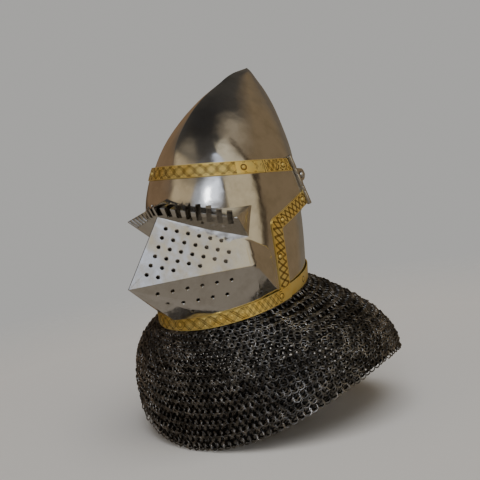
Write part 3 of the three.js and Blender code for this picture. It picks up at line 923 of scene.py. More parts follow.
@dataclass
class Brass(Finish):
    """Yellow brass, darker where the piece's own mask says it is engraved."""

    bright: Colour = (1.0, 0.79, 0.27, 1)
    worn: Colour = (1.0, 0.68, 0.15, 1)
    deep: Colour = (0.13, 0.06, 0.012, 1)

    def dress(self, graph: Graph) -> None:
        """Build the nodes.

        Args:
            graph: The material's empty graph.
        """
        place = graph.node("ShaderNodeTexCoord", "Object")
        cut = graph.node("ShaderNodeAttribute", "Fac", {"attribute_name": "engraved"})
        spots = graph.noise(place, 45, 4, 0.6)
        grain = graph.noise(place, 1500, 2, 0.5)
        skin = graph.blend(graph.clamp(spots, 0.4, 0.7), self.bright, self.worn)
        colour = graph.blend(graph.clamp(cut, 0.08, 0.6), skin, self.deep)
        rough = 0.24 + 0.12 * spots + 0.25 * cut
        bump = graph.node("ShaderNodeBump", Strength=0.15, Distance=0.0002, Height=grain + 2 * spots)
        self.close(graph, Base_Color=colour, Metallic=0.7, Roughness=rough, Normal=bump)


@dataclass
class BlackWire(Finish):
    """Blackened steel wire, rubbed bright in places; given near-black colours, it is also the inner rings'
    painted shade.
    """

    black: Colour = (0.12, 0.118, 0.116, 1)
    rubbed: Colour = (0.66, 0.655, 0.65, 1)

    def dress(self, graph: Graph) -> None:
        """Build the nodes.

        Args:
            graph: The material's empty graph.
        """
        place = graph.node("ShaderNodeTexCoord", "Object")
        patch = graph.noise(place, 16, 3, 0.5)
        spots = graph.noise(place, 75, 2, 0.6)
        wear = graph.clamp(patch * 0.3 + spots * 0.7, 0.44, 0.7)
        colour = graph.blend(wear, self.black, self.rubbed)
        bump = graph.node("ShaderNodeBump", Strength=0.15, Distance=0.0002, Height=spots)
        self.close(graph, Base_Color=colour, Metallic=1.0, Roughness=0.34 - 0.12 * wear, Normal=bump)


@dataclass
class PaleGround(Finish):
    """A plain pale floor that fades into the backdrop."""

    colour: Colour = (0.82, 0.81, 0.79, 1)
    fade: tuple[float, float] = (0.7, 1.25)

    def dress(self, graph: Graph) -> None:
        """Build the nodes.

        Args:
            graph: The material's empty graph.
        """
        place = graph.node("ShaderNodeTexCoord", "Object")
        flat = graph.node("ShaderNodeVectorMath", 0, {"operation": "MULTIPLY"}, n0=place, n1=(1.0, 1.0, 0.0))
        away = graph.node("ShaderNodeVectorMath", "Value", {"operation": "LENGTH"}, n0=flat)
        shader = graph.node(
            "ShaderNodeBsdfPrincipled", Base_Color=self.colour, Roughness=1.0, Specular_IOR_Level=0.0
        )
        clear = graph.node("ShaderNodeBsdfTransparent")
        mixed = graph.node("ShaderNodeMixShader", n0=graph.clamp(away, *self.fade), n1=shader, n2=clear)
        graph.node("ShaderNodeOutputMaterial", Surface=mixed)


STEEL = PolishedSteel("polished_steel")
FITTINGS = FileSteel("file_steel")
BRASS = Brass("engraved_brass")
WIRE = BlackWire("black_wire")
# The inner rings' wire: the same blackened wire painted near black, as painted shade inside the mail.
INNER_WIRE_PAINTED_SHADE = BlackWire("inner_wire_painted_shade", (0.02, 0.02, 0.02, 1), (0.05, 0.05, 0.05, 1))
GROUND = PaleGround("pale_ground")


@dataclass(frozen=True)
class Bowl:
    """The pointed bowl with its face opening."""

    face_edge: float = -62
    face_top: float = -10
    corner: float = 26

    def build(self) -> Piece:
        """Build the bowl in place of its node.

        Returns:
            The finished piece.
        """
        shell = Bench.blank(ovoid(0), "bowl_shell")
        Bench.combine(shell, Bench.blank(ovoid(-SHAPE.wall), "inside"), Cut.TAKE)
        Bench.combine(shell, Bench.blank(under_rim(), "under"), Cut.TAKE)
        opening = [
            (-FAR, self.face_top),
            (self.face_edge - self.corner, self.face_top),
            (self.face_edge, self.face_top - self.corner),
            (self.face_edge, -FAR),
            (-FAR, -FAR),
        ]
        Bench.combine(shell, Bench.blank(prism(opening), "opening"), Cut.TAKE)
        Bench.finish(shell, BOWL_BODY, STEEL)
        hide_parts("skull")
        return shell


def facet(corner: Vector, along: Vector, below: Vector) -> tuple[Vector, Vector, Vector]:
    """Lay rows on a flat facet of the left half.

    Args:
        corner: Where the rows start.
        along: A point along the first row.
        below: A point under it.

    Returns:
        The directions along the rows, down them and out of the facet.
    """
    row = (along - corner).normalized()
    normal = row.cross(below - corner).normalized()
    if normal.x < 0:
        normal.negate()
    down = normal.cross(row).normalized()
    if down.dot(below - corner) < 0:
        down.negate()
    return row, down, normal


@dataclass(frozen=True)
class Prow:
    """Named points of the sight ledge and the snout, of the left half, and how their edges are rounded."""

    brow_centre: Vector = Vector((0, -134.5, -21.4))
    brow_corner: Vector = Vector((94.2, -70.3, -44.4))
    ledge_centre: Vector = Vector((0, -167.9, -28.3))
    ledge_end: Vector = Vector((103, -116.5, -54.5))
    snout_top: Vector = Vector((0, -161, -42.6))
    snout_tip: Vector = Vector((0, -236, -126.7))
    cheek_upper: Vector = Vector((90.7, -82.9, -86.7))
    cheek_outer: Vector = Vector((106.8, -95.2, -123.9))
    gusset_upper: Vector = Vector((101.5, -53.9, -103.7))
    gusset_lower: Vector = Vector((100.4, -44.9, -170.1))
    chin_centre: Vector = Vector((0, -157.5, -187.5))
    ledge_core: Vector = Vector((0, -125, -80))
    snout_core: Vector = Vector((0, -128, -36))
    head_core: Vector = Vector((0, -30, -90))
    chin_angles: tuple[float, ...] = (5, 11.5, 18, 24.5, 31, 37.5, 44, 50.5, 57, 63.5)
    chin_out: float = 3.2
    chin_rise: float = 16
    cheek_rounding: float = 8
    cheek_steps: int = 6
    longest_cheek: float = 90
    corner_reach: float = 0.5
    valley_reach: float = 12
    shortest_ridge: float = 14
    flattest_ridge: float = 0.3

    def ledge(self) -> list[Vector]:
        """Return the ledge's corners.

        Returns:
            The corners in the middle and on the left.
        """
        return [
            self.brow_centre, self.brow_corner, self.ledge_centre, self.ledge_end, self.snout_top,
            self.cheek_upper, self.ledge_core, self.head_core,
        ]

    def snout(self) -> list[Vector]:
        """Return the snout's corners.

        Returns:
            The corners in the middle and on the left.
        """
        return [
            self.snout_top, self.snout_tip, self.cheek_upper, self.cheek_outer, self.gusset_upper,
            self.gusset_lower, self.chin_centre, self.snout_core, self.head_core, *self.chin_line(),
        ]

    def chin_line(self) -> list[Vector]:
        """Return points of the plate just over the chin band, down to which the snout's lower faces run.

        Returns:
            The points, from the middle to the left.
        """
        return [
            SHAPE.on_plane(math.radians(degrees), self.chin_out, SHAPE.rim, self.chin_rise, CHEEKS)
            for degrees in self.chin_angles
        ]

    def block(self, points: list[Vector], inset: float, rounding: float) -> Form:
        """Make the convex block between points and their mirror images.

        Args:
            points: Corners of the left half.
            inset: How far each face is moved in.
            rounding: Width of the rounding along the ridges.

        Returns:
            The solid.
        """
        hull = bmesh.new()
        for point in points:
            hull.verts.new(point)
            if point.x > 0:
                hull.verts.new(point * FLIP)
        bmesh.ops.convex_hull(hull, input=hull.verts)
        hull.normal_update()
        middle = sum((vert.co for vert in hull.verts), Vector()) / len(hull.verts)
        planes = []
        for face in hull.faces:
            normal = face.normal.copy()
            if normal.dot(face.calc_center_median() - middle) < 0:
                normal.negate()
            planes.append((face.verts[0].co - normal * inset, normal))
        hull.free()
        block = carved(planes)
        if rounding:
            self.round_ridges(block, rounding)
        return block

    def notch(self, inset: float) -> Form:
        """Make the left-hand wedge between ledge and snout, in which the plate sinks to the two faces' valley.

        Args:
            inset: How far the wedge's faces are moved into the visor.

        Returns:
            The solid.
        """
        top, end = self.snout_top, self.cheek_upper
        along, _, snout = facet(top, end, self.snout_tip)
        _, _, ledge = facet(top, end, self.ledge_centre)
        if ledge.z > 0:
            ledge.negate()
        middle = (Vector(), Vector((-1, 0, 0)))
        return carved([(top - snout * inset, -snout), (top - ledge * inset, -ledge), (end, along), middle])

    def round_ridges(self, block: Form, rounding: float) -> None:
        """Round the edges of a block: widely where the cheek is soft, and not at all in a valley.

        Args:
            block: The block, which is changed.
            rounding: Width of the rounding of a plain ridge.
        """

        def joins(edge: Edge, points: list[Vector], reach: float) -> bool:
            """Tell whether both ends of an edge are among some points or their mirror images."""
            both = points + [point * FLIP for point in points]
            return all(any((vert.co - point).length < reach for point in both) for vert in edge.verts)

        hard = [self.cheek_outer, self.gusset_upper]
        cheek = [
            edge for edge in block.edges
            if joins(edge, [self.cheek_upper, *hard], self.corner_reach)
            and not joins(edge, hard, self.corner_reach) and edge.calc_length() < self.longest_cheek
        ]
        if cheek:
            bevelled(block, cheek, self.cheek_rounding, self.cheek_steps)
        valleys = [self.brow_centre, self.brow_corner, self.snout_top, self.cheek_upper]
        ridges = [
            edge for edge in block.edges
            if edge.calc_length() > self.shortest_ridge and edge.calc_face_angle(0) > self.flattest_ridge
            and not joins(edge, valleys, self.valley_reach)
        ]
        bevelled(block, ridges, rounding, 3)


@dataclass(frozen=True)
class HoleRow:
    """One row of breath holes on a facet."""

    row: int
    start: float
    count: int


@dataclass(frozen=True)
class Visor:
    """The visor's plate with its ledge, snout, slots and breath holes."""

    gap: float = 1
    wall: float = 1.8
    hinge_top: tuple[float, float] = (21, 9.5)
    hinge_bottom: tuple[float, float] = (44, -62)
    edge_bend: tuple[float, float] = (-27.5, -85.5)
    edge_foot: tuple[float, float] = (-22.5, -186)
    edge_margin: float = 3.6
    band_half: float = 9
    slot_count: int = 8
    slot_start: float = 6.4
    slot_pitch: float = 14.5
    slot_width: float = 7.4
    slot_depth: float = 19
    slot_drop: float = 11.5
    slot_fan: int = 3
    slot_turn: float = math.radians(38)
    hole_radius: float = 2.4
    hole_flare: float = 3.65
    flare_depth: float = 0.8
    drill_top: float = 0.6
    drill_length: float = 9
    drill_start: float = 25
    ledge_rounding: float = 0.9
    snout_rounding: float = 1.1
    saw_spare: float = 10
    saw_corner: float = 0.9
    upper_row: float = 14.2
    upper_hole: float = 15.4
    upper_rows: tuple[HoleRow, ...] = (
        HoleRow(1, 14.9, 6),
        HoleRow(2, 12.4, 7),
        HoleRow(3, 10.6, 7),
        HoleRow(4, 8.6, 5),
        HoleRow(5, 5.6, 3),
        HoleRow(6, 2.9, 2),
    )
    lower_row: float = 19.5
    lower_start: float = 14
    lower_hole: float = 20.5
    lower_rows: tuple[HoleRow, ...] = (HoleRow(0, 38.6, 6), HoleRow(1, 51.5, 5), HoleRow(2, 84.9, 1))
    prow: Prow = Prow()

    def outer(self) -> float:
        """Return how far the plate's outer face stands off the bowl's."""
        return self.gap + self.wall

    def hinge_y(self, z: float) -> float:
        """Return the depth of the hinge's line at a height."""
        (top_y, top_z), (low_y, low_z) = self.hinge_top, self.hinge_bottom
        return top_y + (z - top_z) * (low_y - top_y) / (low_z - top_z)

    def outline(self) -> list[tuple[float, float]]:
        """Return the plate's outline in the side view.

        Returns:
            Depth and height of each corner.
        """
        top_y = self.hinge_top[0] - self.edge_margin
        foot_y = self.edge_foot[0]
        return [
            (-FAR, SHAPE.brow(-FAR, self.band_half)),
            (top_y, SHAPE.brow(top_y, self.band_half)),
            (self.hinge_bottom[0] - self.edge_margin, self.hinge_bottom[1]),
            self.edge_bend,
            (foot_y, SHAPE.rim(foot_y, -1)),
            (foot_y, -FAR),
            (-FAR, -FAR),
        ]

    def hole_cutter(self) -> bpy.types.Mesh:
        """Return the tool that drills one flared hole along -Z.

        Returns:
            The tool, the mouth of its flare at the origin.
        """
        bm = bmesh.new()
        depth = self.flare_depth + self.drill_top
        bmesh.ops.create_cone(
            bm, cap_ends=True, cap_tris=False, segments=14, radius1=self.hole_radius, radius2=self.hole_flare,
            depth=depth,
        )
        bmesh.ops.translate(bm, verts=bm.verts, vec=Vector((0, 0, depth / 2 - self.flare_depth)))
        low = min(bm.faces, key=lambda face: face.calc_center_median().z)
        drawn_out(bm, low, Vector((0, 0, -self.drill_length)))
        if low.is_valid:
            bmesh.ops.delete(bm, geom=[low], context="FACES_ONLY")
        bmesh.ops.recalc_face_normals(bm, faces=bm.faces)
        return stored(bm, "drill")

    def hole_places(self) -> list[tuple[Vector, Vector]]:
        """Return each left-hand hole's place and direction.

        Returns:
            Pairs of a place on the facet and the direction out of it.
        """
        places = []
        prow = self.prow
        row, down, normal = facet(prow.snout_top, prow.cheek_upper, prow.snout_tip)
        for line in self.upper_rows:
            for k in range(line.count):
                step = row * (line.start + k * self.upper_hole) + down * (line.row * self.upper_row)
                places.append((prow.snout_top + step, normal))
        row, down, normal = facet(prow.snout_tip, prow.cheek_outer, prow.gusset_lower)
        for line in self.lower_rows:
            for k in range(line.count):
                drop = self.lower_start + line.row * self.lower_row
                step = row * (line.start + k * self.lower_hole) + down * drop
                places.append((prow.snout_tip + step, normal))
        return places

    def drills(self, plate: Piece) -> Form:
        """Return the tools of all breath holes, both sides.

        Args:
            plate: The plate, whose face each hole is flared at.

        Returns:
            The tools.
        """
        drill = self.hole_cutter()
        bm = bmesh.new()
        for place, normal in self.hole_places():
            for side in SIDES.values():
                flip = Vector((side, 1, 1))
                start = place * flip + normal * flip * self.drill_start
                hit, spot, face_normal, _ = plate.ray_cast(start, -normal * flip)
                if not hit:
                    continue
                turn = Vector((0, 0, 1)).rotation_difference(face_normal).to_matrix().to_4x4()
                matrix = Matrix.Translation(spot) @ turn
                drill.transform(matrix)
                bm.from_mesh(drill)
                drill.transform(matrix.inverted())
        bpy.data.meshes.remove(drill)
        return bm

    def saws(self) -> Form:
        """Return the tools of all sight slots, both sides.

        Returns:
            The tools.
        """
        prow = self.prow
        ridge = (prow.ledge_end - prow.ledge_centre).normalized()
        spare = self.saw_spare
        height = self.slot_drop + spare
        size = Vector((self.slot_width, self.slot_depth + spare, height))
        shift = Vector((0, (self.slot_depth - spare) / 2, spare - height / 2))
        bm = bmesh.new()
        for k in range(self.slot_count):
            part = bmesh.new()
            bmesh.ops.create_cube(part, size=1)
            bmesh.ops.scale(part, verts=part.verts, vec=size)
            upright = [edge for edge in part.edges if abs(edge.verts[0].co.z - edge.verts[1].co.z) > 1]
            bevelled(part, upright, self.saw_corner, 3)
            bmesh.ops.translate(part, verts=part.verts, vec=shift)
            fan = Matrix.Rotation(self.slot_turn * min(1, k / self.slot_fan), 4, "Z")
            spot = prow.ledge_centre + ridge * (self.slot_start + k * self.slot_pitch)
            bmesh.ops.transform(part, verts=part.verts, matrix=Matrix.Translation(spot) @ fan)
            twin = mirror_x(part.copy())
            pour(bm, part)
            pour(bm, twin)
        bmesh.ops.recalc_face_normals(bm, faces=bm.faces)
        return bm

    def build(self) -> Piece:
        """Build the plate in place of its node.

        Returns:
            The finished piece.
        """
        prow = self.prow
        plate = Bench.blank(ovoid(self.outer(), CHEEKS), "visor_plate")
        hollow = Bench.blank(ovoid(self.gap, CHEEKS, 120), "hollow")
        for side in SIDES.values():
            for solid, inset in ((plate, 0), (hollow, self.wall)):
                wedge = prow.notch(inset)
                Bench.combine(solid, Bench.blank(wedge if side > 0 else mirror_x(wedge), "wedge"), Cut.TAKE)
        for points, rounding in ((prow.ledge(), self.ledge_rounding), (prow.snout(), self.snout_rounding)):
            Bench.combine(plate, Bench.blank(prow.block(points, 0, rounding), "prow"), Cut.JOIN)
            Bench.combine(hollow, Bench.blank(prow.block(points, self.wall, 0), "prow"), Cut.JOIN)
        Bench.combine(plate, hollow, Cut.TAKE)
        Bench.combine(plate, Bench.blank(prism(self.outline()), "region"), Cut.KEEP)
        Bench.combine(plate, Bench.blank(under_rim(), "under"), Cut.TAKE)
        Bench.combine(plate, Bench.blank(self.drills(plate), "drills"), Cut.TAKE)
        Bench.combine(plate, Bench.blank(self.saws(), "saws"), Cut.TAKE)
        Bench.finish(plate, VISOR_BODY, STEEL, crease=24)
        Bench.even(plate)
        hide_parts("visor")
        return plate


VISOR = Visor()
BAND_THICKNESS = 1.4
PIECE_GAP = 0.3
BAND_OUTER = VISOR.outer() + PIECE_GAP + BAND_THICKNESS


class Pattern(Enum):
    """The engraving on a stretch of band."""

    DOTTED = "dotted"
    HATCHED = "hatched"
    CHEVRON = "chevron"
    SEAM = "seam"


SHADES = {Pattern.DOTTED: 1.0, Pattern.HATCHED: 0.75, Pattern.CHEVRON: 0.8}


@dataclass(frozen=True)
class Stretch:
    """A stretch of one pattern along a band, in millimetres from the band's middle."""

    start: float
    end: float
    pattern: Pattern


@dataclass(frozen=True)
class Engraver:
    """Cuts lattices of double lines with raised dots, chevrons and rings round the rivets into a band."""

    period: float = 15.5
    height: float = 14.6
    line: float = 0.8
    twin: float = 2.2
    depth: float = 0.25
    dot: float = 1.35
    dot_height: float = 0.5
    dot_rows: tuple[tuple[float, float, float], ...] = ((0, 0, 1), (0.5, 0.68, 0.8), (0.5, -0.68, 0.8))
    border: float = 7.9
    border_line: float = 0.35
    hatch: float = 0.62
    chevron_start: float = 6
    chevron_slope: float = 0.75
    chevron_gap: float = 2
    chevron_line: float = 0.6
    ring: float = 4
    ring_line: float = 1.1
    clear: float = 6

    @staticmethod
    def ease(distance: float, radius: float) -> float:
        """Fall smoothly from 1 at nothing to 0 at a radius."""
        share = min(1.0, abs(distance) / radius)
        return (1 - share * share) ** 2

    def lines(self, u: float, v: float, period: float) -> float:
        """Return how far the lattice's double lines cut at a place.

        Args:
            u: Place along the band.
            v: Place across it.
            period: Length of one lozenge.

        Returns:
            The cut from 0 to 1.
        """
        half_u, half_v = period / 2, self.height / 2
        steep = math.hypot(half_u, half_v)
        cut = 0.0
        for sign in (1, -1):
            across = (u / half_u + sign * v / half_v) % 2 - 1
            distance = across * half_u * half_v / steep
            for shift in (self.twin / 2, -self.twin / 2):
                cut = max(cut, self.ease(distance - shift, self.line))
        return cut

    def dots(self, u: float, v: float) -> tuple[float, float]:
        """Return the height of a dot and the cut of the ring round it.

        Args:
            u: Place along the band.
            v: Place across it.

        Returns:
            The dot's height and the ring's cut from 0 to 1.
        """
        rise, ring = 0.0, 0.0
        for shift, share, scale in self.dot_rows:
            du = (u / self.period - shift) % 1
            du = min(du, 1 - du) * self.period
            distance = math.hypot(du, v - share * self.height / 2)
            size = self.dot * scale
            rise = max(rise, self.ease(distance, size * 1.15))
            ring = max(ring, self.ease(distance - size * 1.5, 0.5))
        return rise, ring

    def mark(self, pattern: Pattern, u: float, v: float) -> tuple[float, float]:
        """Return the outward relief and the engraved mask at a place.

        Args:
            pattern: The stretch's pattern.
            u: Place along the band.
            v: Place across it, from its middle.

        Returns:
            Relief in millimetres and mask from 0 to 1.
        """
        if pattern is Pattern.SEAM:
            cut = max(self.ease(u, 0.7), self.ease(abs(u) - 2 - abs(v) * 0.3, 0.6) * 0.8)
            return -self.depth * cut, cut
        rise = cut = 0.0
        if abs(v) <= self.border:
            if pattern is Pattern.DOTTED:
                rise, ring = self.dots(u, v)
                cut = max(self.lines(u, v, self.period) * (1 - rise), ring * 0.9)
            elif pattern is Pattern.HATCHED:
                cut = self.lines(u, v, self.period * self.hatch)
            elif pattern is Pattern.CHEVRON:
                across = abs(u) - self.chevron_start - (self.height / 2 - abs(v)) * self.chevron_slope
                cut = max(self.ease(place, self.chevron_line) for place in (across, across - self.chevron_gap))
        cut = max(cut, self.ease(abs(v) - self.border, self.border_line) * 0.7)
        return self.dot_height * rise - self.depth * cut, cut * SHADES[pattern]

    def ringed(self, spot: Vector, recesses: list[Vector], relief: float, mask: float) -> tuple[float, float]:
        """Let each rivet stand in a cut ring.

        Args:
            spot: The place on the band.
            recesses: The rivets' places.
            relief: The pattern's relief there.
            mask: The pattern's mask there.

        Returns:
            Relief and mask, the ring's own near a rivet.
        """
        for recess in recesses:
            distance = (spot - recess).length
            if distance < self.clear:
                cut = self.ease(distance - self.ring, self.ring_line)
                relief, mask = -self.depth * cut, cut
        return relief, mask


def engraved(columns: int, rows: int, place: Callable[[float, float], tuple[Vector, float]]) -> Form:
    """Make a band from its outer face, with how far each point is engraved as an attribute.

    Args:
        columns: Steps along the band.
        rows: Steps across it.
        place: Gives the point and its engraving at two shares from 0 to 1.

    Returns:
        The solid.
    """
    masks = []

    def spot(along: float, across: float) -> Vector:
        """Return the point at two shares and keep its engraving.

        Args:
            along: Share of the band's length.
            across: Share of its width.

        Returns:
            The point.
        """
        point, mask = place(along, across)
        masks.append(mask)
        return point

    bm = wrapped(columns, rows, spot)
    layer = bm.verts.layers.float.new("engraved")
    for vert, mask in zip(bm.verts, masks):
        vert[layer] = mask
    return thickened(bm, BAND_THICKNESS)


@dataclass(frozen=True)
class RoundBand:
    """A band that runs round on a plane."""

    name: str
    plane: Plane
    low: float
    high: float
    out: float
    reach: float
    stretches: tuple[Stretch, ...]
    ends: Callable[[float], tuple[float, float]]
    body: str
    columns: int
    fine_rows: int = 36
    bare_rows: int = 24
    engraver: Engraver = Engraver()

    def middle_length(self, across: int = 240) -> list[float]:
        """Return the lengths along the band's middle line at equal steps of its angle, from its middle.

        Args:
            across: Number of steps.

        Returns:
            The lengths, negative before the middle.
        """
        rise = (self.low + self.high) / 2
        first, last = self.ends(rise)
        lengths = lengths_along([
            SHAPE.on_plane(first + (last - first) * k / across, self.out, self.plane, rise, self.reach)
            for k in range(across + 1)
        ])
        return [length - lengths[-1] / 2 for length in lengths]

    def build(self, recesses: list[Vector]) -> Piece:
        """Build the band in place of its node.

        Args:
            recesses: Places of the rivets, each of which stands in a ring.

        Returns:
            The finished piece.
        """
        lengths = self.middle_length()
        rows = self.fine_rows if self.stretches else self.bare_rows

        def place(along: float, across: float) -> tuple[Vector, float]:
            """Return the point at two shares of the grid, with its relief, and its engraving.

            Args:
                along: Share of the band's length.
                across: Share of its width.

            Returns:
                The point and its engraving from 0 to 1.
            """
            rise = self.low + (self.high - self.low) * across
            first, last = self.ends(rise)
            angle = first + (last - first) * along
            spot = SHAPE.on_plane(angle, self.out, self.plane, rise, self.reach)
            share = along * (len(lengths) - 1)
            k = min(int(share), len(lengths) - 2)
            u = lengths[k] + (lengths[k + 1] - lengths[k]) * (share - k)
            v = rise - (self.low + self.high) / 2
            relief, mask = 0.0, 0.0
            for stretch in self.stretches:
                if stretch.start <= u < stretch.end:
                    centre = (stretch.start + stretch.end) / 2
                    relief, mask = self.engraver.mark(stretch.pattern, u - centre, v)
            relief, mask = self.engraver.ringed(spot, recesses, relief, mask)
            return spot + SHAPE.normal(angle, spot.z, self.reach) * relief, mask

        bm = engraved(self.columns, rows, place)
        piece = Bench.blank(bm, self.name + "_strip")
        Bench.finish(piece, self.body, BRASS, crease=50)
        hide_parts(self.name)
        return piece


@dataclass(frozen=True)
class SideBand:
    """The band along the visor's rear edge, from the hinge's foot round the bend to the chin band."""

    width: float = 20
    chin: float = 18
    length: float = 156
    columns: int = 300
    rows: int = 38
    bends: tuple[float, float] = (0.035, 0.1)
    engraver: Engraver = Engraver(period=15, height=17, border=8.9, twin=1.3, clear=5.6)

    def stations(self) -> list[tuple[Vector, Vector]]:
        """Return the rear and front corners at the top, the bend and the foot, in the side view.

        Returns:
            Pairs of a rear and a front corner.
        """
        visor = VISOR
        rear_top = Vector((visor.hinge_bottom[0] - visor.edge_margin, visor.hinge_bottom[1]))
        bend = Vector(visor.edge_bend)
        along = (rear_top - bend).normalized()
        lift = self.width / along.x
        front_bend = Vector((bend.x - self.width, bend.y + lift - self.width * along.y / along.x))
        top_z = rear_top.y + lift - along.y * 8
        front_top = Vector((visor.hinge_y(top_z) - visor.edge_margin, top_z))
        foot_y = visor.edge_foot[0]
        rise = self.chin + PIECE_GAP
        rear_foot = Vector((foot_y, SHAPE.rim(foot_y, rise)))
        front_foot = Vector((foot_y - self.width, SHAPE.rim(foot_y - self.width, rise)))
        return [(rear_top, front_top), (bend, front_bend), (rear_foot, front_foot)]

    def line(self, share: float, side: int) -> Vector:
        """Return the place along one edge, its bend drawn round at the front edge.

        Args:
            share: Share of the way down.
            side: 0 for the rear edge and 1 for the front edge.

        Returns:
            The place in the side view.
        """
        top, bend, foot = (pair[side] for pair in self.stations())
        radius = self.bends[side]
        at = share * 2
        if at < 1 - radius:
            return top.lerp(bend, at)
        if at > 1 + radius:
            return bend.lerp(foot, at - 1)
        t = (at - 1 + radius) / (2 * radius)
        start, end = top.lerp(bend, 1 - radius), bend.lerp(foot, radius)
        return start * (1 - t) ** 2 + bend * (2 * t * (1 - t)) + end * t**2

    def build(self, side: str, recesses: list[Vector]) -> Piece:
        """Build one side's band in place of its node.

        Args:
            side: Left or right.
            recesses: Places of its rivets on the left.

        Returns:
            The finished piece.
        """

        def place(along: float, across: float) -> tuple[Vector, float]:
            """Return the point at two shares of the grid, with its relief, and its engraving.

            Args:
                along: Share of the band's length.
                across: Share of its width.

            Returns:
                The point and its engraving from 0 to 1.
            """
            flat = self.line(along, 0).lerp(self.line(along, 1), across)
            spot = SHAPE.over(flat.x, flat.y, BAND_OUTER, CHEEKS)
            u, v = (along - 0.5) * self.length, (across - 0.5) * self.width
            relief, mask = self.engraver.mark(Pattern.HATCHED, u, v)
            relief, mask = self.engraver.ringed(spot, recesses, relief, mask)
            angle = SHAPE.angle_at(spot.y, spot.z, CHEEKS)
            return spot + SHAPE.normal(angle, spot.z, CHEEKS) * relief, mask

        bm = engraved(self.columns, self.rows, place)
        if side == "right":
            mirror_x(bm)
        piece = Bench.blank(bm, f"side_strip_{side}")
        Bench.finish(piece, VISOR_BODY, BRASS, crease=50)
        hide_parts(f"side_band_{side}")
        return piece


@dataclass(frozen=True)
class Studs:
    """Pairs of small studs on both sides of a band, one above the other."""

    degrees: float
    rises: tuple[float, float]
    size: float


@dataclass(frozen=True)
class Rivets:
    """The band rivets: small round heads, and the pairs of studs at the seams."""

    radius: float = 3.1
    height: float = 2.1
    brow: tuple[float, ...] = (92, 60, -30, -92)
    chin: tuple[float, ...] = (80, 0, -58)
    nape: tuple[float, ...] = (110, 150, -150, -110)
    side: tuple[tuple[float, float], ...] = ((30, -54.5), (-25, -74.5), (-38.5, -124))
    chin_rise: float = 9
    foot: float = 0.6
    sides: int = 20
    brow_studs: Studs = Studs(69.5, (5.2, -5.2), 0.5)
    chin_studs: Studs = Studs(30, (14.2, 3.8), 0.6)

    def head(self, size: float = 1) -> Form:
        """Return one head that stands on the origin.

        Args:
            size: The head's scale.

        Returns:
            The solid.
        """
        radius, height = self.radius * size, self.height * size
        steps = [i / 6 * math.pi / 2 for i in range(7)]
        dome = [(radius * math.cos(t), height * math.sin(t)) for t in steps]
        return turned([(0, -self.foot), (radius, -self.foot), *dome], self.sides)

    @staticmethod
    def on_band(degrees: float, plane: Plane, rise: float, out: float, reach: float) -> tuple[Vector, Vector]:
        """Return a rivet's place and direction on a round band.

        Args:
            degrees: Angle from the front.
            plane: The band's plane.
            rise: Height over the plane.
            out: How far the band's face stands off the bowl's.
            reach: As for the shape's points.

        Returns:
            The place and the outward direction.
        """
        angle = math.radians(degrees)
        spot = SHAPE.on_plane(angle, out, plane, rise, reach)
        return spot, SHAPE.normal(angle, spot.z, reach)

    def places(self) -> dict[str, list[tuple[Vector, Vector]]]:
        """Return every rivet's place and direction by band.

        Returns:
            Pairs of a place and an outward direction for each band.
        """
        nape_out = PIECE_GAP + BAND_THICKNESS
        left = []
        for y, z in self.side:
            spot = SHAPE.over(y, z, BAND_OUTER, CHEEKS)
            left.append((spot, SHAPE.normal(SHAPE.angle_at(y, z, CHEEKS), z, CHEEKS)))
        rise = self.chin_rise
        return {
            "brow": [self.on_band(a, SHAPE.brow, 0, BAND_OUTER, CHEEKS) for a in self.brow],
            "chin": [self.on_band(a, SHAPE.rim, rise, BAND_OUTER, CHEEKS) for a in self.chin],
            "nape": [self.on_band(a, SHAPE.rim, rise, nape_out, 0) for a in self.nape],
            "side_left": left,
            "side_right": [(spot * FLIP, normal * FLIP) for spot, normal in left],
        }

    def build(self) -> None:
        """Build each band's rivets as one piece in place of their nodes."""
        small = {"brow": (self.brow_studs, SHAPE.brow), "chin": (self.chin_studs, SHAPE.rim)}
        for band, places in self.places().items():
            bm = bmesh.new()
            for spot, normal in places:
                pour(bm, put(self.head(), normal, spot))
            if band in small:
                studs, plane = small[band]
                for degrees in (studs.degrees, -studs.degrees):
                    for rise in studs.rises:
                        spot, normal = self.on_band(degrees, plane, rise, BAND_OUTER, CHEEKS)
                        pour(bm, put(self.head(studs.size), normal, spot))
            piece = Bench.blank(bm, f"{band}_rivets")
            Bench.finish(piece, BOWL_BODY if band == "nape" else VISOR_BODY, BRASS, crease=40)
            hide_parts(*[f"rivet_{band}_{k + 1}" for k in range(len(places))])


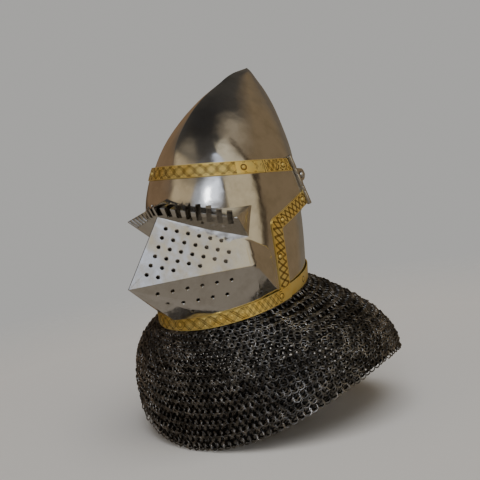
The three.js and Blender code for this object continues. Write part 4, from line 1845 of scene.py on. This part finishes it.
@dataclass(frozen=True)
class Bands:
    """All brass bands."""

    half: float = 9

    def visor_end(self, plane: Plane, rise: float) -> float:
        """Return the angle at which a band reaches the visor's rear edge.

        Args:
            plane: The band's plane.
            rise: Height over the plane.

        Returns:
            The angle in radians.
        """
        spot = SHAPE.on_plane(math.radians(90), BAND_OUTER, plane, rise, CHEEKS)
        y = VISOR.hinge_y(spot.z) - VISOR.edge_margin if spot.z > -100 else VISOR.edge_foot[0]
        return SHAPE.angle_at(y, spot.z, CHEEKS)

    def visor_ends(self, plane: Plane) -> Callable[[float], tuple[float, float]]:
        """Let a band of the visor end at both rear edges.

        Args:
            plane: The plane that the band runs on.

        Returns:
            A function that gives the band's two end angles from a rise over the plane.
        """

        @lru_cache(maxsize=None)
        def ends(rise: float) -> tuple[float, float]:
            """Return the band's two end angles."""
            end = self.visor_end(plane, rise)
            return -end, end

        return ends

    def build(self, rivets: Rivets) -> None:
        """Build every band in place of its node.

        Args:
            rivets: The rivets, each of which stands in a ring.
        """
        spots = {band: [spot for spot, _ in places] for band, places in rivets.places().items()}

        @lru_cache(maxsize=None)
        def nape_ends(rise: float) -> tuple[float, float]:
            """Return the nape band's two end angles, round the back.

            Args:
                rise: Height over the rim's plane.

            Returns:
                The first and last angle.
            """
            spot = SHAPE.on_plane(math.radians(95), PIECE_GAP, SHAPE.rim, rise)
            start = SHAPE.angle_at(VISOR.edge_foot[0] + 2 * PIECE_GAP, spot.z)
            return start, 2 * math.pi - start

        brow = (
            Stretch(-200, -143, Pattern.HATCHED), Stretch(-143, -137, Pattern.SEAM),
            Stretch(-137, -96, Pattern.CHEVRON), Stretch(-96, 96, Pattern.DOTTED),
            Stretch(96, 137, Pattern.CHEVRON), Stretch(137, 143, Pattern.SEAM),
            Stretch(143, 200, Pattern.HATCHED),
        )
        chin = (
            Stretch(-160, -96, Pattern.HATCHED), Stretch(-96, 96, Pattern.DOTTED),
            Stretch(96, 160, Pattern.HATCHED),
        )
        ends = self.visor_ends(SHAPE.brow)
        RoundBand(
            "brow_band", SHAPE.brow, -self.half, self.half, BAND_OUTER, CHEEKS, brow, ends, VISOR_BODY, 700
        ).build(spots["brow"])
        ends = self.visor_ends(SHAPE.rim)
        RoundBand(
            "chin_band", SHAPE.rim, 0, 2 * self.half, BAND_OUTER, CHEEKS, chin, ends, VISOR_BODY, 560
        ).build(spots["chin"])
        out = PIECE_GAP + BAND_THICKNESS
        RoundBand("nape_band", SHAPE.rim, 0, 2 * self.half, out, 0, (), nape_ends, BOWL_BODY, 240).build(
            spots["nape"]
        )
        for side in SIDES:
            SideBand().build(side, spots["side_left"])


@dataclass(frozen=True)
class Hinges:
    """The pin hinges behind the visor's flaps, the pivots on the bowl and the stops."""

    radius: float = 3.35
    gap: float = 1.0
    round_off: float = 0.5
    knuckles: tuple[float, ...] = (0.27, 0.11, 0.24, 0.11, 0.27)

    @staticmethod
    def loose(node: str) -> Form:
        """Return a copy of a node's mesh in layout millimetres, its split corners merged.

        Args:
            node: The node's name.

        Returns:
            The mesh.
        """
        bm = bmesh.new()
        bm.from_mesh(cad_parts[node].data)
        bmesh.ops.scale(bm, verts=bm.verts, vec=Vector((1, 1, 1)) / MM)
        bmesh.ops.translate(bm, verts=bm.verts, vec=SEAT)
        bmesh.ops.remove_doubles(bm, verts=bm.verts, dist=1e-3)
        bmesh.ops.recalc_face_normals(bm, faces=bm.faces)
        return bm

    def axis(self, side: str) -> tuple[Vector, Vector]:
        """Return the top and bottom of a hinge pin's axis.

        Args:
            side: Left or right.

        Returns:
            The two points.
        """
        bm = self.loose(f"hinge_pin_{side}")
        (top_y, top_z), (low_y, low_z) = VISOR.hinge_top, VISOR.hinge_bottom
        way = Vector((0, low_y - top_y, low_z - top_z)).normalized()
        places = sorted(((vert.co.dot(way), vert.co.copy()) for vert in bm.verts), key=lambda item: item[0])
        bm.free()
        first, last = places[0][0], places[-1][0]
        heads = [spot for along, spot in places if along < first + 1]
        feet = [spot for along, spot in places if along > last - 1]
        return sum(heads, Vector()) / len(heads), sum(feet, Vector()) / len(feet)

    def barrels(self, side: str) -> None:
        """Draw the knuckles as round barrels with softened ends over one hinge's pin.

        Args:
            side: Left or right.
        """
        top, foot = self.axis(side)
        length = (foot - top).length
        way = (foot - top).normalized()
        radius, soft = self.radius, self.round_off
        bm = bmesh.new()
        start = 0.0
        for share in self.knuckles:
            long = share * length - self.gap
            lower = [(0, 0), (radius - soft, 0), (radius - soft * 0.3, soft * 0.3), (radius, soft)]
            upper = [(wide, long - high) for wide, high in reversed(lower)]
            place = top + way * (start * length + self.gap / 2)
            pour(bm, put(turned(lower + upper, 28), way, place))
            start += share
        piece = Bench.blank(bm, f"hinge_barrels_{side}")
        Bench.finish(piece, VISOR_BODY, FITTINGS, crease=40)
        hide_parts(f"hinge_pin_{side}")

    def build(self) -> None:
        """Draw the knuckles round and smooth the other fittings, each in place of its node."""
        for side in SIDES:
            self.barrels(side)
            for name in ("hinge_leaf", "pivot_arm", "pivot_post", "stop_rivet"):
                body = BOWL_BODY if name in ("pivot_post", "stop_rivet") else VISOR_BODY
                node = f"{name}_{side}"
                piece = Bench.blank(self.loose(node), node + "_smooth")
                Bench.finish(piece, body, FITTINGS, crease=37)
                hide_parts(node)


@dataclass(frozen=True, eq=False)
class Aventail:
    """The field of mail: rows of rings, each linked to its neighbours above and below."""

    inset: float = 2.6
    thickness: float = 3
    hem_half_width: float = 210
    hem_front: float = 151
    hem_rear: float = 212
    hem_front_drop: float = 370
    hem_side_drop: float = 284
    hem_rear_drop: float = 318
    front_bulge: float = 1.4
    rear_bulge: float = 0.7
    bulge_lift: float = 0.3
    ring: float = 6.1
    wire: float = 1.02
    rows: int = 27
    closest: float = 9.0
    widest: float = 11.2
    lean: float = 0.32
    inner_wire_painted_shade: float = 1.6
    inner_depth: float = 4.5
    sway: float = 0.22
    swing: float = 0.25
    stray: float = 0.55
    seed: int = 7

    def hem(self, angle: float) -> Vector:
        """Return a point of the hem.

        Args:
            angle: Angle from the front in radians.

        Returns:
            The point.
        """
        middle = (self.hem_rear - self.hem_front) / 2
        y = middle - (self.hem_rear + self.hem_front) / 2 * math.cos(angle)
        front = ((1 + math.cos(angle)) / 2) ** 2
        rear = ((1 - math.cos(angle)) / 2) ** 2
        side_drop = 2 * self.hem_side_drop - (self.hem_front_drop + self.hem_rear_drop) / 2
        drop = self.hem_front_drop * front + self.hem_rear_drop * rear + side_drop * (1 - front - rear)
        return Vector((self.hem_half_width * math.sin(angle), y, -drop))

    def face(self, angle: float, share: float) -> Vector:
        """Return a point of the mail's outer face, at a share of the way from the rim to the hem.

        Args:
            angle: Angle from the front in radians.
            share: 0 at the rim and 1 at the hem.

        Returns:
            The point.
        """
        top = self.top(round(angle, 6))
        hem = self.hem(angle)
        back = (1 - math.cos(angle)) / 2
        bulge = (self.front_bulge * (1 - back) + self.rear_bulge * back) * share * (1 - share)
        spread, drop = share + bulge, share - self.bulge_lift * bulge
        way = hem - top
        return Vector((top.x + way.x * spread, top.y + way.y * spread, top.z + way.z * drop))

    @lru_cache(maxsize=None)
    def top(self, angle: float) -> Vector:
        """Return the point under the rim where the mail starts."""
        turn = (angle + math.pi) % (2 * math.pi) - math.pi
        return SHAPE.on_plane(turn, -self.inset, SHAPE.rim, -1)

    def frame_at(self, angle: float, share: float) -> tuple[Vector, Vector, Vector, Vector]:
        """Return a place with its directions round, down and out.

        Args:
            angle: Angle from the front in radians.
            share: 0 at the rim and 1 at the hem.

        Returns:
            The place and the three unit directions.
        """
        spot = self.face(angle, share)
        around = (self.face(angle + 0.03, share) - self.face(angle - 0.03, share)).normalized()
        down = self.face(angle, share + 0.02) - self.face(angle, share - 0.02)
        out = down.cross(around).normalized()
        if out.x * spot.x + out.y * (spot.y - 20) < 0:
            out.negate()
        down = around.cross(out).normalized()
        if down.z > 0:
            down.negate()
        return spot, around, down, out

    def row_angles(self, share: float, count: int, shift: float) -> list[float]:
        """Return the angles of a row's rings, at even lengths round it.

        Args:
            share: 0 at the rim and 1 at the hem.
            count: Number of rings.
            shift: Where the first ring sits, in rings.

        Returns:
            The angles.
        """
        steps = 240
        lengths = lengths_along([self.face(2 * math.pi * k / steps, share) for k in range(steps + 1)])
        angles, k = [], 0
        for i in range(count):
            aim = (i + shift) / count * lengths[-1]
            while lengths[k + 1] < aim:
                k += 1
            part = (aim - lengths[k]) / (lengths[k + 1] - lengths[k])
            angles.append(2 * math.pi * (k + part) / steps)
        return angles

    def girth(self, share: float) -> float:
        """Return the length round a row."""
        return lengths_along([self.face(2 * math.pi * k / 90, share) for k in range(91)])[-1]

    def one_ring(self, wire: float, sides: int, steps: int) -> bpy.types.Mesh:
        """Return one ring about +Z.

        Args:
            wire: Half of the wire's thickness.
            sides: Sides of the wire.
            steps: Steps round the ring.

        Returns:
            The ring's mesh.
        """
        bm = bmesh.new()
        turn = Matrix.Translation((self.ring, 0, 0)) @ Matrix.Rotation(math.pi / 2, 4, "X")
        bmesh.ops.create_circle(bm, segments=sides, radius=wire, matrix=turn)
        return stored(spun(bm, steps), "ring")

    def link(
        self, strip: Form, ring: bpy.types.Mesh, angle: float, share: float, row: int, depth: float,
        chance: random.Random,
    ) -> None:
        """Hang one ring in its row.

        Args:
            strip: The row's mesh.
            ring: The ring's mesh.
            angle: Place round the row.
            share: Place from the rim to the hem.
            row: The row's number, which sets the way the ring leans.
            depth: Depth under the mail's outer face.
            chance: Gives the small differences between rings.
        """
        spot, around, down, out = self.frame_at(angle, share)
        lean = (self.lean if row % 2 else -self.lean) + chance.uniform(-self.sway, self.sway)
        normal = (out * math.cos(lean) + down * math.sin(lean)).normalized()
        side = (around + out * chance.uniform(-self.swing, self.swing)).normalized()
        third = normal.cross(side).normalized()
        side = third.cross(normal)
        turn = Matrix((side, third, normal)).transposed().to_4x4()
        jitter = Vector([chance.uniform(-self.stray, self.stray) for _ in range(3)])
        matrix = Matrix.Translation(spot - out * depth + jitter) @ turn
        ring.transform(matrix)
        strip.from_mesh(ring)
        ring.transform(matrix.inverted())

    def build(self) -> None:
        """Build the mail, two rings deep, in place of its solid; the inner rings are painted near black as
        shade.
        """
        outer = self.one_ring(self.wire, 4, 12)
        inner = self.one_ring(self.inner_wire_painted_shade, 3, 8)
        chance = random.Random(self.seed)
        fields = {name: bmesh.new() for name in ("mail_top", "mail_upper", "mail_lower", "mail_hem")}
        # The inner rings are real rings of the mail; their near-black colour is painted shade.
        painted_shade_rings = {"mail_inner_top": bmesh.new(), "mail_inner_hem": bmesh.new()}
        count = round(self.girth(0) / self.closest)
        total = 0
        for row in range(self.rows):
            share = row / (self.rows - 1)
            girth = self.girth(share)
            if girth / count > self.widest:
                count = round(girth / self.closest)
            strip, back = bmesh.new(), bmesh.new()
            for angle in self.row_angles(share, count, 0.5 * (row % 2)):
                self.link(strip, outer, angle, share, row, self.thickness / 2, chance)
                total += 1
            for angle in self.row_angles(share, count, 0.25 + 0.5 * (row % 2)):
                self.link(back, inner, angle, share, row + 1, self.inner_depth, chance)
            pour(list(fields.values())[row * 4 // self.rows], strip)
            pour(list(painted_shade_rings.values())[row * 2 // self.rows], back)
        bpy.data.meshes.remove(outer)
        bpy.data.meshes.remove(inner)
        fields |= painted_shade_rings
        for name, bm in fields.items():
            piece = Bench.blank(bm, name)
            Bench.finish(piece, BOWL_BODY, INNER_WIRE_PAINTED_SHADE if name in painted_shade_rings else WIRE, crease=130)
            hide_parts("aventail")
        LOG.info("aventail: %d rings", total)


@dataclass(frozen=True)
class PhotoCamera:
    """The camera at the photograph's viewing angle."""

    azimuth: float = math.radians(39.53)
    elevation: float = math.radians(7.7)
    roll: float = math.radians(7.94)
    distance: float = 1620
    focal: float = 1108.61
    across: float = 4.67
    upward: float = -105.25
    image: float = 480
    sensor: float = 36
    farthest: float = 60

    def directions(self) -> tuple[Vector, Vector, Vector]:
        """Return the directions to the right, up and back to the camera.

        Returns:
            The three unit directions.
        """
        a, e = self.azimuth, self.elevation
        up = Vector((-math.sin(a) * math.sin(e), math.cos(a) * math.sin(e), math.cos(e)))
        return Vector((math.cos(a), math.sin(a), 0)), up, looking(a, e)

    def build(self) -> None:
        """Make the camera the scene's own."""
        right, up, back = self.directions()
        place = (back * self.distance + right * self.across + up * self.upward - SEAT) * MM
        side = right * math.cos(self.roll) - up * math.sin(self.roll)
        top = right * math.sin(self.roll) + up * math.cos(self.roll)
        turn = Matrix((side, top, back)).transposed().to_4x4()
        data = bpy.data.cameras.new("photo_camera")
        data.sensor_width = self.sensor
        data.lens = self.sensor * self.focal / self.image
        data.clip_end = self.farthest
        bpy.context.scene.camera = placed("photo_camera", data, Matrix.Translation(place) @ turn)


@dataclass(frozen=True)
class Panel:
    """A soft light, placed round the helmet's middle."""

    name: str
    azimuth: float
    elevation: float
    distance: float
    width: float
    height: float
    power: float
    colour: Colour

    def build(self, middle: Vector) -> None:
        """Hang the light and aim it at the middle.

        Args:
            middle: The point that the light is aimed at, in metres.
        """
        away = looking(math.radians(self.azimuth), math.radians(self.elevation))
        data = bpy.data.lights.new(self.name, "AREA")
        data.shape = "RECTANGLE"
        data.size = self.width
        data.size_y = self.height
        data.energy = self.power
        data.color = self.colour
        turn = away.to_track_quat("Z", "Y").to_matrix().to_4x4()
        placed(self.name, data, Matrix.Translation(middle + away * self.distance) @ turn)


@dataclass(frozen=True)
class Glow:
    """A soft-edged patch of the surroundings, by direction in degrees."""

    azimuth: float
    elevation: float
    half_width: float
    half_height: float
    soft: float
    colour: Colour


@dataclass(frozen=True)
class Studio:
    """A pale floor that runs into a pale backdrop, in a room with a window and cream walls."""

    floor_drop: float = 378
    floor_radius: float = 1.3
    backdrop: Colour = (0.44, 0.435, 0.42)
    middle: tuple[float, float, float] = (0, -20, -80)
    strip: Panel = Panel("strip", 34, 26, 2.6, 0.35, 0.7, 4, (0.94, 0.97, 1))
    ground_light: float = 1.3
    ground_spread: float = 50
    ground_tilt: tuple[float, float] = (14, 18)
    levels: tuple[tuple[float, Colour], ...] = (
        (0.0, (0.24, 0.21, 0.175)),
        (0.4, (0.17, 0.145, 0.11)),
        (0.6, (0.14, 0.115, 0.085)),
        (0.8, (0.1, 0.087, 0.072)),
        (0.95, (0.05, 0.046, 0.041)),
        (1.0, (0.028, 0.026, 0.025)),
    )
    glows: tuple[Glow, ...] = (
        Glow(-90, 8, 52, 24, 9, (0.2, 0.13, 0.075)),
        Glow(-60, -8, 70, 8, 4, (0.04, 0.028, 0.018)),
        Glow(-14, 32, 24, 11, 5, (0.5, 0.4, 0.25)),
        Glow(-10, 56, 22, 10, 10, (0.2, 0.17, 0.125)),
        Glow(83, 14, 22, 30, 3, (0.56, 0.47, 0.31)),
        Glow(84, 51, 19, 12, 3, (0.62, 0.55, 0.41)),
        Glow(120, 56, 24, 14, 8, (0.3, 0.25, 0.18)),
        Glow(142, 12, 36, 36, 9, (0.2, 0.145, 0.085)),
        Glow(108, 14, 3.5, 44, 2.5, (0.03, 0.018, 0.01)),
        Glow(57, 49, 8, 7, 2, (0.78, 0.84, 0.98)),
        Glow(17, 26, 8, 14, 3, (0.4, 0.42, 0.46)),
        Glow(39, 27, 15, 14, 4, (1.3, 1.38, 1.55)),
        Glow(59, 16, 1.5, 30, 2, (0.05, 0.04, 0.03)),
    )

    def sky(self) -> None:
        """Light the surroundings by direction; the camera itself sees the plain backdrop."""
        world = bpy.data.worlds.new("studio")
        bpy.context.scene.world = world
        world.use_nodes = True
        graph = Graph(world.node_tree)
        way = graph.node("ShaderNodeTexCoord", "Generated")
        parts = [graph.node("ShaderNodeSeparateXYZ", key, None, Vector=way) for key in "XYZ"]
        turn = graph.maths("ARCTAN2", parts[0], parts[1] * -1.0)
        rise = graph.maths("ARCSINE", parts[2])
        level = graph.clamp(parts[2], -1, 1)
        colour = graph.node("ShaderNodeValToRGB", "Color", {"stops": self.levels}, Fac=level)
        for glow in self.glows:
            soft = math.radians(glow.soft)
            parts = []
            for angle, centre, half in (
                (turn, glow.azimuth, glow.half_width), (rise, glow.elevation, glow.half_height)
            ):
                away = graph.maths("ABSOLUTE", angle - math.radians(centre))
                parts.append(graph.clamp(away, math.radians(half) + soft, max(0.0, math.radians(half) - soft)))
            colour = graph.blend(parts[0] * parts[1], colour, (*glow.colour, 1))
        seen = graph.node("ShaderNodeLightPath", "Is Camera Ray")
        colour = graph.blend(seen, colour, (*self.backdrop, 1))
        back = graph.node("ShaderNodeBackground", Color=colour, Strength=1.0)
        graph.node("ShaderNodeOutputWorld", Surface=back)

    def build(self) -> None:
        """Build floor, lights and surroundings."""
        bm = bmesh.new()
        bmesh.ops.create_circle(bm, cap_ends=True, segments=96, radius=self.floor_radius)
        drop = Vector((0, 0, -self.floor_drop)) - SEAT
        bmesh.ops.translate(bm, verts=bm.verts, vec=drop * MM)
        floor = Bench.blank(bm, "floor")
        floor.data.materials.append(GROUND.material())
        floor.visible_glossy = False
        sun = bpy.data.lights.new("ground_light", "SUN")
        sun.energy = self.ground_light
        sun.angle = math.radians(self.ground_spread)
        lamp = placed("ground_light", sun, Matrix())
        lamp.rotation_euler = (*map(math.radians, self.ground_tilt), 0)
        lamp.visible_glossy = False
        self.strip.build((Vector(self.middle) - SEAT) * MM)
        self.sky()


def main() -> None:
    """Build the helmet, its studio and the camera."""
    logging.basicConfig(level=logging.INFO, format="%(name)s %(message)s")
    PhotoCamera().build()
    Bowl().build()
    VISOR.build()
    rivets = Rivets()
    Bands().build(rivets)
    rivets.build()
    Hinges().build()
    Aventail().build()
    Studio().build()


if __name__ == "__main__":
    main()
